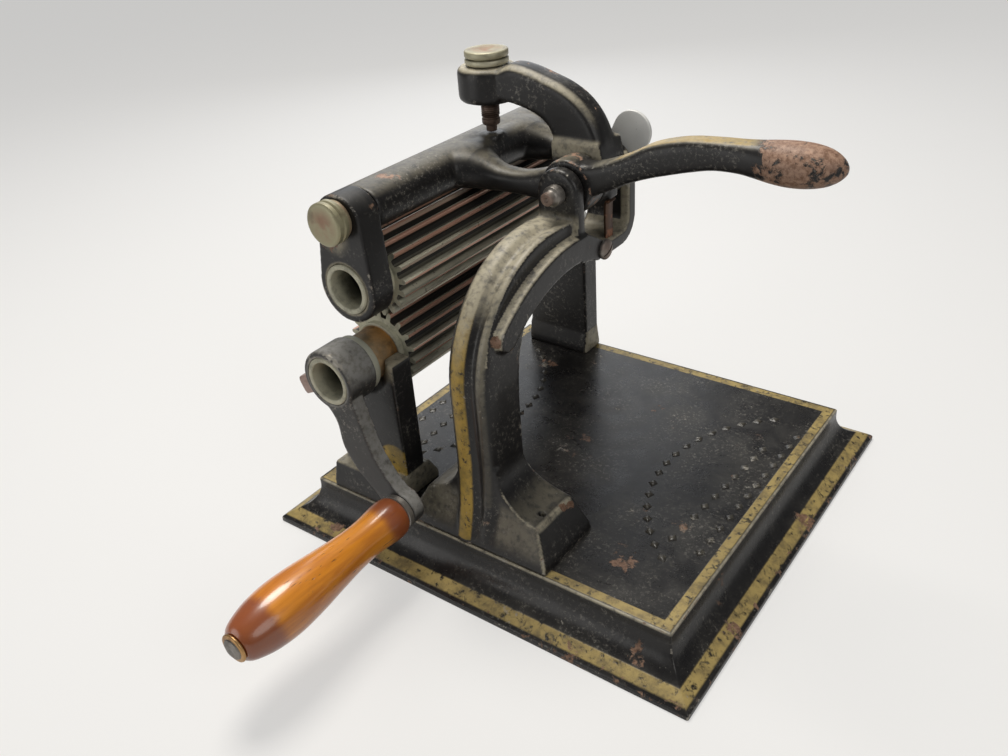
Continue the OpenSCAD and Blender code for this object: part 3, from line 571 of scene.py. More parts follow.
def measure(piece: Thing, reach: float = 0.45, masks: Optional[dict[str, Mask]] = None,
            sharp: float = 50) -> None:
    """Shades a piece smooth and stores where it is worn, dusty and painted.

    Args:
        piece: The object.
        reach: Bend, in turns per millimetre, at which an edge counts as worn.
        masks: Further attributes, as functions of the piece's skin.
        sharp: Angle in degrees above which an edge stays sharp.
    """
    mesh = piece.data
    mesh.shade_smooth()
    mesh.set_sharp_from_angle(angle=math.radians(sharp))
    co, normal = mesh_arrays(mesh)
    ends = np.empty(2 * len(mesh.edges), dtype=np.int64)
    mesh.edges.foreach_get("vertices", ends)
    a, b = ends.reshape(-1, 2).T
    step = co[b] - co[a]
    size = np.einsum("ij,ij->i", step, step) + 1e-6
    bend = np.zeros(len(co))
    count = np.zeros(len(co))
    for i, sign in ((a, -1), (b, 1)):
        np.add.at(bend, i, sign * 2 * np.einsum("ij,ij->i", step, normal[i]) / size)
        np.add.at(count, i, 1)
    bend /= np.maximum(count, 1)
    for _ in range(3):
        total = np.zeros(len(co))
        np.add.at(total, a, bend[b])
        np.add.at(total, b, bend[a])
        bend = 0.5 * bend + 0.5 * total / np.maximum(count, 1)
    store(mesh, "edge", bend / reach)
    store(mesh, "hollow", -bend / reach)
    store(mesh, "up", normal[:, 2])
    for name, mask in (masks or {}).items():
        store(mesh, name, mask(Skin(co, normal)))


class Graph:
    """Short hand for building a node tree."""

    def __init__(self, tree: Tree) -> None:
        """Starts with an existing tree."""
        self.tree = tree

    def add(self, kind: str, *inputs: object, **settings: object) -> bpy.types.Node:
        """Adds a node.

        Args:
            kind: Type of the node.
            *inputs: Sockets or values for its first inputs; None leaves one as it is.
            **settings: Its properties; a name that starts with i_ is an input by name.

        Returns:
            The node.
        """
        node = self.tree.nodes.new(kind)
        for name, value in settings.items():
            if not name.startswith("i_"):
                setattr(node, name, value)
        for i, value in enumerate(inputs):
            self.put(value, node.inputs[i])
        for name, value in settings.items():
            if name.startswith("i_"):
                self.put(value, node.inputs[name[2:].replace("_", " ")])
        return node

    def put(self, value: object, socket: Socket) -> None:
        """Links a socket, or sets a value, on an input.

        Args:
            value: A socket, a value, or None to leave the input as it is.
            socket: The input.
        """
        if value is None:
            return
        if isinstance(value, Socket):
            self.tree.links.new(value, socket)
        else:
            socket.default_value = value

    def math(self, operation: str, *inputs: object, clamp: bool = False) -> Socket:
        """Adds a math node and gives its result."""
        return self.add("ShaderNodeMath", *inputs, operation=operation, use_clamp=clamp).outputs[0]

    times = partialmethod(math, "MULTIPLY")
    plus = partialmethod(math, "ADD")
    minus = partialmethod(math, "SUBTRACT")
    most = partialmethod(math, "MAXIMUM")

    def mix(self, factor: object, first: object, second: object) -> Socket:
        """Mixes two colours and gives the result.

        Args:
            factor: Share of the second colour.
            first: First colour.
            second: Second colour.

        Returns:
            The mixed colour.
        """
        node = self.add("ShaderNodeMix", data_type="RGBA")
        for value, i in ((factor, 0), (first, 6), (second, 7)):
            self.put(value + (1,) if isinstance(value, tuple) and len(value) == 3 else value, node.inputs[i])
        return node.outputs[2]

    def blend(self, factor: object, first: object, second: object) -> Socket:
        """Mixes two numbers and gives the result.

        Args:
            factor: Share of the second number.
            first: First number.
            second: Second number.

        Returns:
            The mixed number.
        """
        node = self.add("ShaderNodeMix", data_type="FLOAT")
        for value, i in ((factor, 0), (first, 2), (second, 3)):
            self.put(value, node.inputs[i])
        return node.outputs[0]

    def step(self, value: object, low: object, high: object) -> Socket:
        """Runs a value smoothly from 0 at low to 1 at high."""
        return self.add("ShaderNodeMapRange", value, low, high, interpolation_type="SMOOTHSTEP").outputs[0]

    def noise(self, vector: object, scale: object, detail: float = 4, rough: float = 0.6,
              warp: float = 0) -> Socket:
        """Adds a noise and gives its value."""
        return self.add("ShaderNodeTexNoise", i_Vector=vector, i_Scale=scale, i_Detail=detail,
                        i_Roughness=rough, i_Distortion=warp).outputs["Fac"]

    def attribute(self, name: str) -> Socket:
        """Reads one of the piece's own numbers."""
        return self.add("ShaderNodeAttribute", attribute_name=name).outputs["Fac"]


def new_group(name: str, kind: str, inputs: Sequence[tuple[str, str, object]],
              outputs: Sequence[tuple[str, str]]) -> tuple[Graph, Sockets, bpy.types.Node]:
    """Starts a node group with named sockets.

    Args:
        name: Name of the group.
        kind: Type of the tree.
        inputs: Name, short type and default of each input.
        outputs: Name and short type of each output.

    Returns:
        The graph, its inputs by name, and the output node.
    """
    tree = bpy.data.node_groups.new(name, kind)
    for label, short, default in inputs:
        socket = tree.interface.new_socket(label, in_out="INPUT", socket_type="NodeSocket" + short)
        if default is not None:
            socket.default_value = default
    for label, short in outputs:
        tree.interface.new_socket(label, in_out="OUTPUT", socket_type="NodeSocket" + short)
    graph = Graph(tree)
    start = graph.add("NodeGroupInput")
    return graph, {s.name: s for s in start.outputs if s.name}, graph.add("NodeGroupOutput")


class Effects:
    """Shader groups that several finishes share."""

    def __init__(self) -> None:
        """Builds each group once."""
        self.patches = self._patches()
        self.edge_wear = self._edge_wear()
        self.loss = self._loss()
        self.dust = self._dust()
        self.grain = self._grain()

    @staticmethod
    def _start(name: str, **numbers: float) -> tuple[Graph, Sockets, Socket]:
        """Starts a group that reads a vector and some numbers and puts out one value.

        Args:
            name: Name of the group.
            **numbers: Its inputs by name, with their defaults.

        Returns:
            The graph, its inputs by name, and the socket for the value.
        """
        inputs = [("Vector", "Vector", None)] + [(label, "Float", number) for label, number in numbers.items()]
        g, sockets, out = new_group(name, "ShaderNodeTree", inputs, [("Value", "Float")])
        return g, sockets, out.inputs[0]

    def _patches(self) -> Tree:
        """Ragged patches that cover a share of the surface.

        Returns:
            The group.
        """
        g, i, out = self._start("Ragged patches", Scale=60, Cover=0.3, Softness=0.05)
        value = g.noise(i["Vector"], i["Scale"], 6, 0.62, 0.3)
        low = g.minus(0.72, g.times(i["Cover"], 0.44))
        g.put(g.step(value, low, g.plus(low, i["Softness"])), out)
        return g.tree

    def _edge_wear(self) -> Tree:
        """Chipped wear along convex edges.

        Returns:
            The group.
        """
        g, i, out = self._start("Edge wear", Edge=0, Scale=250, Amount=1)
        chips = g.noise(i["Vector"], i["Scale"], 5, 0.65)
        broad = g.noise(i["Vector"], g.times(i["Scale"], 0.12), 2)
        both = g.plus(g.times(chips, 2.2), g.times(broad, 2.4))
        value = g.plus(g.times(i["Edge"], i["Amount"]), g.minus(both, 2.3))
        g.put(g.step(value, 0.58, 0.88), out)
        return g.tree

    def _loss(self) -> Tree:
        """Ragged loss of paint where a mask is high.

        Returns:
            The group.
        """
        g, i, out = self._start("Paint loss", Mask=0, Scale=170)
        rag = g.noise(i["Vector"], i["Scale"], 7, 0.68, 0.4)
        value = g.plus(rag, g.times(i["Mask"], 0.45))
        g.put(g.step(value, 0.80, 0.88), out)
        return g.tree

    def _dust(self) -> Tree:
        """Dust on faces that look up, and in hollows.

        Returns:
            The group.
        """
        g, i, out = self._start("Settled dust", Up=0, Hollow=0, Amount=0.3)
        cloud = g.step(g.noise(i["Vector"], 45, 6, 0.7, 0.5), 0.36, 0.78)
        specks = g.step(g.noise(i["Vector"], 1100, 2), 0.68, 0.76)
        lying = g.times(g.math("POWER", i["Up"], 1.5), cloud)
        both = g.plus(lying, g.times(i["Hollow"], 0.3))
        fine = g.times(specks, g.plus(g.times(i["Up"], 0.5), 0.25))
        g.put(g.plus(g.times(both, i["Amount"]), fine, clamp=True), out)
        return g.tree

    def _grain(self) -> Tree:
        """Fine unevenness of a casting or a forging.

        Returns:
            The group.
        """
        g, i, out = self._start("Cast grain", Scale=500)
        fine = g.noise(i["Vector"], i["Scale"], 4, 0.6)
        broad = g.noise(i["Vector"], g.times(i["Scale"], 0.16), 3)
        g.put(g.plus(g.times(fine, 0.45), broad), out)
        return g.tree


class Surface:
    """A material with one Principled shader."""

    def __init__(self, name: str) -> None:
        """Starts an empty material.

        Args:
            name: Name of the material.
        """
        self.material = bpy.data.materials.new(name)
        self.material.use_nodes = True
        tree = self.material.node_tree
        self.g = Graph(tree)
        self.shader = tree.nodes["Principled BSDF"]
        self.where = self.g.add("ShaderNodeTexCoord").outputs["Object"]

    def effect(self, group: Tree, **inputs: object) -> Socket:
        """Places a shared effect and gives its result.

        Args:
            group: The effect.
            **inputs: Its inputs by name, besides Vector.

        Returns:
            The effect's first output.
        """
        node = self.g.add("ShaderNodeGroup", node_tree=group)
        self.g.put(self.where, node.inputs["Vector"])
        for name, value in inputs.items():
            self.g.put(value, node.inputs[name])
        return node.outputs[0]

    def finish(self, colour: object, rough: object, metal: object, height: object, depth: float,
               **constants: object) -> Material:
        """Joins colour, roughness, metal and relief to the shader.

        Args:
            colour: Base colour.
            rough: Roughness.
            metal: Metallic share.
            height: Relief, in parts of its depth.
            depth: Depth of the relief in millimetres.
            **constants: Further inputs of the shader, by name.

        Returns:
            The material.
        """
        for value, name in ((colour, "Base Color"), (rough, "Roughness"), (metal, "Metallic")):
            self.g.put(value, self.shader.inputs[name])
        bump = self.g.add("ShaderNodeBump", i_Height=height, i_Distance=depth * MM, i_Strength=1)
        self.g.put(bump.outputs[0], self.shader.inputs["Normal"])
        for name, value in constants.items():
            self.g.put(value, self.shader.inputs[name.replace("_", " ")])
        return self.material


@dataclass(frozen=True)
class Japan:
    """Black japan on cast iron, worn along its edges, with painted stripes."""

    name: str
    wear: float = 0.5
    dust: float = 0.22
    rust: float = 0.12
    gloss: float = 0.3
    black: Colour = (0.0075, 0.007, 0.007)
    dust_colour: Colour = (0.17, 0.16, 0.135)
    gold: Colour = (0.42, 0.275, 0.055)
    gold_dark: Colour = (0.20, 0.145, 0.04)
    cream: Colour = (0.44, 0.395, 0.29)
    iron: Colour = (0.32, 0.30, 0.26)
    rust_colour: Colour = (0.10, 0.05, 0.028)
    rust_pale: Colour = (0.27, 0.165, 0.11)
    scuff: float = 0.35
    flakes: float = 0.06

    def material(self, effects: Effects) -> Material:
        """Builds the finish from the shared effects.

        Args:
            effects: The shared effects.

        Returns:
            The material.
        """
        s = Surface(self.name)
        g = s.g
        edge, up, hollow = (g.attribute(n) for n in ("edge", "up", "hollow"))
        gold, cream, bare = (g.attribute(n) for n in ("gold", "cream", "bare"))
        colour = g.mix(g.noise(s.where, 30), self.black, tuple(2.2 * c for c in self.black))
        rough = g.blend(g.noise(s.where, 90, 5), self.gloss - 0.1, self.gloss + 0.14)
        dust = s.effect(effects.dust, Up=up, Hollow=hollow, Amount=self.dust)
        colour = g.mix(dust, colour, self.dust_colour)
        rough = g.blend(dust, rough, 0.65)
        fine = g.step(g.noise(s.where, 560, 6, 0.78), 0.52, 0.64)
        scuffed = g.times(fine, g.step(g.noise(s.where, 42, 3), 0.40, 0.62))
        colour = g.mix(g.times(scuffed, self.scuff), colour, self.iron)
        flaked = s.effect(effects.patches, Scale=330, Cover=1.0 - self.flakes, Softness=0.16)
        painted = g.times(gold, flaked, clamp=True)
        shade = g.mix(g.step(g.noise(s.where, 150, 7, 0.7), 0.3, 0.62), self.gold_dark, self.gold)
        colour = g.mix(painted, colour, shade)
        rough = g.blend(painted, rough, 0.42)
        mottle = g.step(g.noise(s.where, 190, 6, 0.66), 0.16, 0.52)
        rubbed = g.times(cream, mottle)
        tint = g.step(g.noise(s.where, 330, 5), 0.42, 0.75)
        colour = g.mix(rubbed, colour, g.mix(tint, self.cream, self.dust_colour))
        rough = g.blend(rubbed, rough, 0.5)
        worn = s.effect(effects.edge_wear, Edge=edge, Amount=self.wear, Scale=380)
        stains = s.effect(effects.patches, Scale=34, Cover=self.rust, Softness=0.05)
        stains = g.times(stains, s.effect(effects.patches, Scale=310, Cover=0.55, Softness=0.10))
        stains = g.most(stains, s.effect(effects.loss, Mask=bare, Scale=190))
        rusty = g.mix(g.step(g.noise(s.where, 480, 6, 0.75), 0.32, 0.66), self.rust_colour, self.rust_pale)
        worn_colour = g.mix(g.step(g.noise(s.where, 70, 3), 0.5, 0.66), self.iron, rusty)
        colour = g.mix(worn, colour, worn_colour)
        colour = g.mix(stains, colour, rusty)
        lost = g.most(worn, stains)
        rough = g.blend(lost, rough, 0.52)
        metal = g.times(worn, 0.45)
        height = s.effect(effects.grain, Scale=420)
        height = g.plus(height, g.times(painted, 0.6))
        height = g.minus(height, g.times(lost, 0.8))
        return s.finish(colour, rough, metal, height, 0.10, Specular_IOR_Level=0.32)


@dataclass(frozen=True)
class Metal:
    """Bare or plated metal with tarnish, rust and fine turning marks."""

    name: str
    bright: Colour
    dull: Colour
    rust_colour: Colour = (0.20, 0.09, 0.05)
    tarnish: float = 0.5
    rust: float = 0.2
    rough: float = 0.4
    metallic: float = 0.85
    wear: float = 0.6
    pale: Colour = (0.50, 0.47, 0.35)

    def material(self, effects: Effects) -> Material:
        """Builds the finish from the shared effects.

        Args:
            effects: The shared effects.

        Returns:
            The material.
        """
        s = Surface(self.name)
        g = s.g
        edge, up, hollow, bare = (g.attribute(n) for n in ("edge", "up", "hollow", "bare"))
        dull = s.effect(effects.patches, Scale=95, Cover=self.tarnish, Softness=0.22)
        colour = g.mix(dull, self.bright, self.dull)
        worn = s.effect(effects.edge_wear, Edge=edge, Amount=self.wear, Scale=320)
        colour = g.mix(worn, colour, self.bright)
        spots = s.effect(effects.patches, Scale=130, Cover=self.rust, Softness=0.10)
        blush = g.times(bare, g.step(g.noise(s.where, 170, 5), 0.25, 0.6))
        spots = g.most(spots, g.times(blush, 0.8))
        colour = g.mix(spots, colour, g.mix(g.noise(s.where, 420, 4), self.rust_colour,
                                            tuple(2.0 * c for c in self.rust_colour)))
        whitish = g.times(g.attribute("cream"), g.step(g.noise(s.where, 210, 5), 0.2, 0.5))
        colour = g.mix(whitish, colour, self.pale)
        dirt = s.effect(effects.dust, Up=up, Hollow=hollow, Amount=0.45)
        colour = g.mix(dirt, colour, (0.11, 0.095, 0.075))
        rough = g.blend(g.noise(s.where, 300, 4), self.rough - 0.08, self.rough + 0.12)
        rough = g.blend(spots, rough, 0.7)
        metal = g.blend(g.most(spots, dirt), self.metallic, 0.1)
        height = s.effect(effects.grain, Scale=700)
        height = g.plus(height, g.times(spots, 0.5))
        return s.finish(colour, rough, metal, height, 0.05)


@dataclass(frozen=True)
class Flutes:
    """Rollers: coppery lands, pale flanks on the side painted as lit, near-black painted shade on the other side and
    deep in the bore, groove floors darkened as dirt and painted shade, chalky ends and a polished journal.
    """

    name: str
    land: Colour = (0.56, 0.31, 0.22)
    land_pale: Colour = (0.46, 0.38, 0.29)
    flank: Colour = (0.60, 0.58, 0.45)
    # Painted shade: near-black for the shaded side of each groove and for the deep inside of the bore.
    groove: Colour = (0.022, 0.02, 0.015)
    # Dirt and painted shade: the darkened floor of each groove on the side painted as lit.
    floor: Colour = (0.10, 0.095, 0.07)
    chalk: Colour = (0.56, 0.54, 0.41)
    journal: Colour = (0.52, 0.27, 0.08)

    def material(self, effects: Effects) -> Material:
        """Builds the finish from the shared effects.

        Args:
            effects: The shared effects.

        Returns:
            The material.
        """
        s = Surface(self.name)
        g = s.g
        height, ends, neck, lit = (g.attribute(n) for n in ("crest", "ends", "neck", "lit"))
        streak = g.add("ShaderNodeMapping", s.where, i_Scale=(1, 0.10, 1)).outputs[0]
        lines = g.noise(streak, 420, 5, 0.65)
        rubbed = g.noise(streak, 150, 3)
        top = g.mix(g.step(rubbed, 0.48, 0.68), self.land, self.land_pale)
        side = g.mix(g.step(lines, 0.3, 0.6), tuple(0.55 * c for c in self.flank), self.flank)
        jitter = g.plus(height, g.times(g.minus(lines, 0.5), 0.14))
        # Painted light: one side of each flute is coloured as lit and the other as shaded.
        painted_lit_side = g.step(g.plus(lit, g.times(g.minus(lines, 0.5), 0.3)), 0.72, 0.94)
        # Shaded side: near-black painted shade below the land.
        under = g.mix(g.step(jitter, 0.5, 0.68), self.groove, top)
        # Lit side: pale flank, with the floor darkened as dirt and painted shade.
        over = g.mix(g.step(jitter, 0.12, 0.5), self.floor, side)
        colour = g.mix(painted_lit_side, under, over)
        specks = s.effect(effects.patches, Scale=520, Cover=0.22, Softness=0.06)
        colour = g.mix(g.times(specks, 0.7), colour, (0.06, 0.035, 0.022))
        brown = g.mix(g.step(g.noise(s.where, 90, 4), 0.35, 0.62), tuple(0.35 * c for c in self.journal),
                      self.journal)
        colour = g.mix(neck, colour, brown)
        pale = g.mix(g.step(g.noise(s.where, 160, 6, 0.7), 0.42, 0.72), self.chalk,
                     tuple(0.5 * c for c in self.chalk))
        colour = g.mix(ends, colour, pale)
        rough = g.blend(g.most(ends, g.step(jitter, 0.6, 0.2)), 0.36, 0.65)
        bright = g.most(neck, g.times(g.step(jitter, 0.7, 0.95), 0.45))
        metal = g.times(g.minus(1, ends), g.times(bright, 0.7))
        relief = s.effect(effects.grain, Scale=600)
        return s.finish(colour, rough, metal, relief, 0.05)


@dataclass(frozen=True)
class Wood:
    """Varnished amber hardwood with dark ends and fine pits along the grain."""

    name: str
    pale: Colour = (0.78, 0.29, 0.02)
    deep: Colour = (0.52, 0.155, 0.012)
    ends: Colour = (0.25, 0.06, 0.024)

    def material(self, effects: Effects) -> Material:
        """Builds the finish from the shared effects.

        Args:
            effects: The shared effects.

        Returns:
            The material.
        """
        s = Surface(self.name)
        g = s.g
        dark, edge = g.attribute("dark"), g.attribute("edge")
        along = g.add("ShaderNodeMapping", s.where, i_Scale=(1, 0.07, 1)).outputs[0]
        fibre = g.noise(along, 420, 6, 0.6, 0.4)
        cloud = g.noise(along, 90, 4, 0.55, 0.6)
        colour = g.mix(g.step(g.plus(g.times(fibre, 0.55), g.times(cloud, 0.6)),
                              0.38, 0.74), self.pale, self.deep)
        pits = g.step(g.noise(along, 900, 2), 0.665, 0.72)
        colour = g.mix(g.times(pits, 0.75), colour, (0.05, 0.014, 0.006))
        stain = g.step(g.plus(dark, g.times(g.minus(cloud, 0.5), 0.7)), 0.25, 0.8)
        colour = g.mix(g.times(stain, 0.88), colour, self.ends)
        rub = s.effect(effects.edge_wear, Edge=edge, Amount=0.5, Scale=300)
        colour = g.mix(g.times(rub, 0.4), colour, (0.30, 0.12, 0.06))
        rough = g.blend(g.noise(s.where, 140, 4), 0.22, 0.42)
        height = g.minus(g.times(fibre, 0.4), pits)
        return s.finish(colour, rough, 0, height, 0.06, Coat_Weight=0.55, Coat_Roughness=0.12)


class Kit:
    """Finishes by slot, and the last steps that every piece goes through."""

    def __init__(self) -> None:
        """Builds the finishes once."""
        effects = Effects()
        self.japan, self.japan_base, self.japan_raised, self.japan_dusty, self.japan_worn, self.japan_rubbed = (
            finish.material(effects) for finish in (
                Japan("japan"),
                Japan("japan_base", dust=0.2, rust=0.14, gloss=0.26, flakes=0.1, gold=(0.38, 0.285, 0.105),
                      gold_dark=(0.17, 0.13, 0.06)),
                Japan("japan_raised", wear=0.34, dust=0.14, rust=0, gloss=0.26),
                Japan("japan_dusty", dust=0.34, rust=0.06, gloss=0.36, scuff=0.5, rust_colour=(0.17, 0.09, 0.055),
                      rust_pale=(0.42, 0.27, 0.19)),
                Japan("japan_worn", wear=0.6, dust=0.3, rust=0.08, gloss=0.4, scuff=0.6),
                Japan("japan_rubbed", wear=0.55, dust=0.35, rust=0.06, gloss=0.42, black=(0.02, 0.019, 0.018),
                      cream=(0.30, 0.292, 0.272), scuff=0.7)))
        self.bare, self.bolt, self.thread, self.set_screw, self.collar, self.spring, self.bronze, self.brass = (
            finish.material(effects) for finish in (
                # Near white and hardly metallic, brightened so that the finger plate in shade still reads light grey:
                # painted light.
                Metal("bare_steel", (0.78, 0.78, 0.75), (0.62, 0.62, 0.60), tarnish=0.35, rust=0.05, rough=0.5,
                      metallic=0.1),
                Metal("bolt_steel", (0.27, 0.25, 0.225), (0.10, 0.09, 0.08), (0.12, 0.06, 0.035), tarnish=0.55,
                      rust=0.25, rough=0.42, metallic=0.7),
                Metal("thread_steel", (0.10, 0.066, 0.05), (0.035, 0.023, 0.019), (0.07, 0.033, 0.02), tarnish=0.6,
                      rust=0.2, rough=0.45, metallic=0.6),
                Metal("set_screw_steel", (0.34, 0.24, 0.205), (0.20, 0.125, 0.10), tarnish=0.5, rust=0.3, rough=0.45,
                      metallic=0.5),
                Metal("collar_steel", (0.46, 0.455, 0.36), (0.33, 0.325, 0.25), tarnish=0.4, rust=0.05, rough=0.55,
                      metallic=0.1),
                # Rusty brown, darkened further to stand for the deep shade the leaf sits in: painted shade.
                Metal("spring_steel", (0.085, 0.046, 0.028), (0.035, 0.02, 0.014), tarnish=0.5, rust=0.4, rough=0.5,
                      metallic=0.5),
                Metal("bronze", (0.33, 0.305, 0.19), (0.18, 0.15, 0.09), (0.21, 0.105, 0.068), tarnish=0.5,
                      rust=0.08, rough=0.42, metallic=0.35),
                Metal("brass", (0.46, 0.27, 0.11), (0.22, 0.115, 0.05), tarnish=0.5, rust=0.1, rough=0.38)))
        self.flutes = Flutes("roller_flutes").material(effects)
        self.wood = Wood("grip_wood").material(effects)

    @staticmethod
    def dress(piece: Thing, finish: Material, slot: Slot) -> None:
        """Gives a piece its finish.

        Args:
            piece: The object.
            finish: Its material.
            slot: Not used.
        """
        piece.data.materials.clear()
        piece.data.materials.append(finish)

    def place(self, piece: Thing, body: Body, finish: Material, slot: Slot,
              *nodes: str) -> Thing:
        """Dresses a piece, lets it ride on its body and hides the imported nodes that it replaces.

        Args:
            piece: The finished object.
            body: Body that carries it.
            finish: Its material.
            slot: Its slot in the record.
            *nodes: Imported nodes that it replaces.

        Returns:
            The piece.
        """
        self.dress(piece, finish, slot)
        if nodes:
            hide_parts(*nodes)
        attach(piece, body.value)
        LOG.info("%s rides on %s: %d faces", piece.name, body.value, len(piece.data.polygons))
        return piece

    def turn(self, node: str, axis: Axis, middle: Flat, profile: Outline, body: Body, finish: Material,
             slot: Slot, count: int = 64, closed: bool = False, reach: float = TURNED_REACH,
             sharp: float = TURNED_SHARP, masks: Optional[dict[str, Mask]] = None) -> None:
        """Turns, measures and places the piece of one node.

        Args:
            node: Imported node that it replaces.
            axis: Axis that it turns about.
            middle: The two other coordinates of the axis, in order.
            profile: Place along the axis and radius.
            body: Body that carries it.
            finish: Its material.
            slot: Its slot in the record.
            count: Number of sides.
            closed: Whether the profile is a closed line off the axis.
            reach: Bend at which an edge counts as worn.
            sharp: Angle in degrees above which an edge stays sharp.
            masks: Further attributes, as functions of the piece's skin.
        """
        piece = Form(node + "_piece").turned(axis, middle, profile, count, closed).build()
        measure(piece, reach, masks, sharp)
        self.place(piece, body, finish, slot, node)


class NodeTool:
    """A Geometry Nodes tree with named inputs that ends in a plain mesh."""

    def __init__(self, name: str, inputs: Sequence[tuple[str, str, object]]) -> None:
        """Starts a tree with a geometry, its own inputs and a material.

        Args:
            name: Name of the tree.
            inputs: Name, short type and default of each input of its own.
        """
        sockets = [("Geometry", "Geometry", None), *inputs, ("Material", "Material", None)]
        self.g, self.i, self.out = new_group(name, "GeometryNodeTree", sockets, [("Geometry", "Geometry")])
        self.g.tree.is_modifier = True

    def end(self, geometry: Socket) -> None:
        """Closes the tree with Realize Instances and Set Material.

        Args:
            geometry: What the tree has made.
        """
        real = self.g.add("GeometryNodeRealizeInstances", geometry).outputs[0]
        merged = self.g.add("GeometryNodeMergeByDistance", real, i_Distance=1e-6).outputs[0]
        dressed = self.g.add("GeometryNodeSetMaterial", merged, i_Material=self.i["Material"]).outputs[0]
        self.g.put(dressed, self.out.inputs[0])

    def run(self, piece: Thing, finish: Material, **values: object) -> Thing:
        """Runs the tree on a piece and keeps the plain mesh.

        Args:
            piece: Object that gives the tree its geometry.
            finish: Material that the tree sets.
            **values: Inputs by name, with _ for a space.

        Returns:
            The same object.
        """
        mod = piece.modifiers.new(self.g.tree.name, "NODES")
        mod.node_group = self.g.tree
        for item in self.g.tree.interface.items_tree:
            if item.item_type != "SOCKET" or item.in_out != "INPUT":
                continue
            key = item.name.replace(" ", "_")
            if key == "Material":
                mod[item.identifier] = finish
            elif key in values:
                mod[item.identifier] = values[key]
        evaluated(piece)
        return piece


class Repeats:
    """Trees for everything that repeats on the machine."""

    def __init__(self) -> None:
        """Builds the trees once."""
        self.flutes = self._flutes()
        self.lozenges = self._lozenges()
        self.bolts = self._bolts()
        self.thread = self._thread()

    @staticmethod
    def _flutes() -> NodeTool:
        """Repeats one flute round the Y axis.

        Returns:
            The tree.
        """
        tool = NodeTool("Ring of flutes", [("Count", "Int", 18)])
        g = tool.g
        line = g.add("GeometryNodeMeshLine", i_Count=tool.i["Count"], i_Offset=(0, 0, 0))
        turn = g.math("DIVIDE", 2 * math.pi, tool.i["Count"])
        angle = g.times(g.add("GeometryNodeInputIndex").outputs[0], turn)
        euler = g.add("ShaderNodeCombineXYZ", i_Y=angle).outputs[0]
        spin = g.add("FunctionNodeEulerToRotation", euler).outputs[0]
        made = g.add("GeometryNodeInstanceOnPoints", i_Points=line.outputs[0], i_Instance=tool.i["Geometry"],
                     i_Rotation=spin)
        tool.end(made.outputs[0])
        return tool

    @staticmethod
    def _lozenges() -> NodeTool:
        """Sets low lozenges along a path.

        Returns:
            The tree.
        """
        tool = NodeTool("Row of lozenges", [("Count", "Int", 12), ("Length", "Float", 0.005),
                                            ("Width", "Float", 0.003), ("Height", "Float", 0.001)])
        g, i = tool.g, tool.i
        path = g.add("GeometryNodeMeshToCurve", i["Geometry"]).outputs[0]
        even = g.add("GeometryNodeResampleCurve", i_Curve=path, i_Count=i["Count"]).outputs[0]
        stone = g.add("GeometryNodeMeshCone", i_Vertices=4, i_Radius_Top=0.42, i_Radius_Bottom=1, i_Depth=1)
        along = g.add("GeometryNodeInputTangent").outputs[0]
        turn = g.add("FunctionNodeAlignRotationToVector", i_Vector=along, axis="X").outputs[0]
        size = g.add("ShaderNodeCombineXYZ", g.times(i["Length"], 0.5),
                     g.times(i["Width"], 0.5), i["Height"]).outputs[0]
        made = g.add("GeometryNodeInstanceOnPoints", i_Points=even, i_Instance=stone.outputs[0], i_Rotation=turn,
                     i_Scale=size)
        tool.end(made.outputs[0])
        return tool

    @staticmethod
    def _bolts() -> NodeTool:
        """Sets hexagon bolts, heads down, on points.

        Returns:
            The tree.
        """
        tool = NodeTool("Hexagon bolts", [("Head Radius", "Float", 0.004), ("Head Height", "Float", 0.005),
                                          ("Shank Radius", "Float", 0.003), ("Shank Length", "Float", 0.02)])
        g, i = tool.g, tool.i
        head = g.add("GeometryNodeMeshCylinder", i_Vertices=6, i_Radius=i["Head Radius"], i_Depth=i["Head Height"])
        shank = g.add("GeometryNodeMeshCylinder", i_Vertices=24, i_Radius=i["Shank Radius"], i_Depth=i["Shank Length"])
        lift = g.plus(i["Head Height"], g.times(i["Shank Length"], 0.5))
        high = g.add("ShaderNodeCombineXYZ", i_Z=lift).outputs[0]
        low = g.add("ShaderNodeCombineXYZ", i_Z=g.times(i["Head Height"], 0.5)).outputs[0]
        both = g.add("GeometryNodeJoinGeometry")
        for part, shift in ((head, low), (shank, high)):
            moved = g.add("GeometryNodeTransform", i_Geometry=part.outputs[0], i_Translation=shift)
            g.put(moved.outputs[0], both.inputs[0])
        made = g.add("GeometryNodeInstanceOnPoints", i_Points=i["Geometry"], i_Instance=both.outputs[0])
        tool.end(made.outputs[0])
        return tool

    @staticmethod
    def _thread() -> NodeTool:
        """Winds a thread round the Z axis, from the origin up.

        Returns:
            The tree.
        """
        tool = NodeTool("Screw thread", [("Radius", "Float", 0.004), ("Height", "Float", 0.02),
                                         ("Turns", "Float", 12), ("Depth", "Float", 0.0006)])
        g, i = tool.g, tool.i
        path = g.add("GeometryNodeCurveSpiral", i_Resolution=32, i_Rotations=i["Turns"], i_Start_Radius=i["Radius"],
                     i_End_Radius=i["Radius"], i_Height=i["Height"])
        ridge = g.add("GeometryNodeCurvePrimitiveCircle", i_Resolution=4, i_Radius=i["Depth"])
        made = g.add("GeometryNodeCurveToMesh", i_Curve=path.outputs[0], i_Profile_Curve=ridge.outputs[0],
                     i_Fill_Caps=True)
        tool.end(made.outputs[0])
        return tool


def moved(piece: Thing, point: Sequence[float]) -> Thing:
    """Moves a mesh made about the origin to a point in millimetres from the base's middle."""
    piece.data.transform(Matrix.Translation(placed(point)))
    return piece


def path_object(name: str, points: Sequence[Point], edges: bool = True) -> Thing:
    """Makes an object of points, joined in a line or loose.

    Args:
        name: Name of the object.
        points: Places in millimetres from the base's middle.
        edges: Whether the points are joined in order.

    Returns:
        The object.
    """
    mesh = bpy.data.meshes.new(name)
    links = [(i, i + 1) for i in range(len(points) - 1)] if edges else []
    mesh.from_pydata([placed(p) for p in points], links, [])
    return linked(name, mesh)


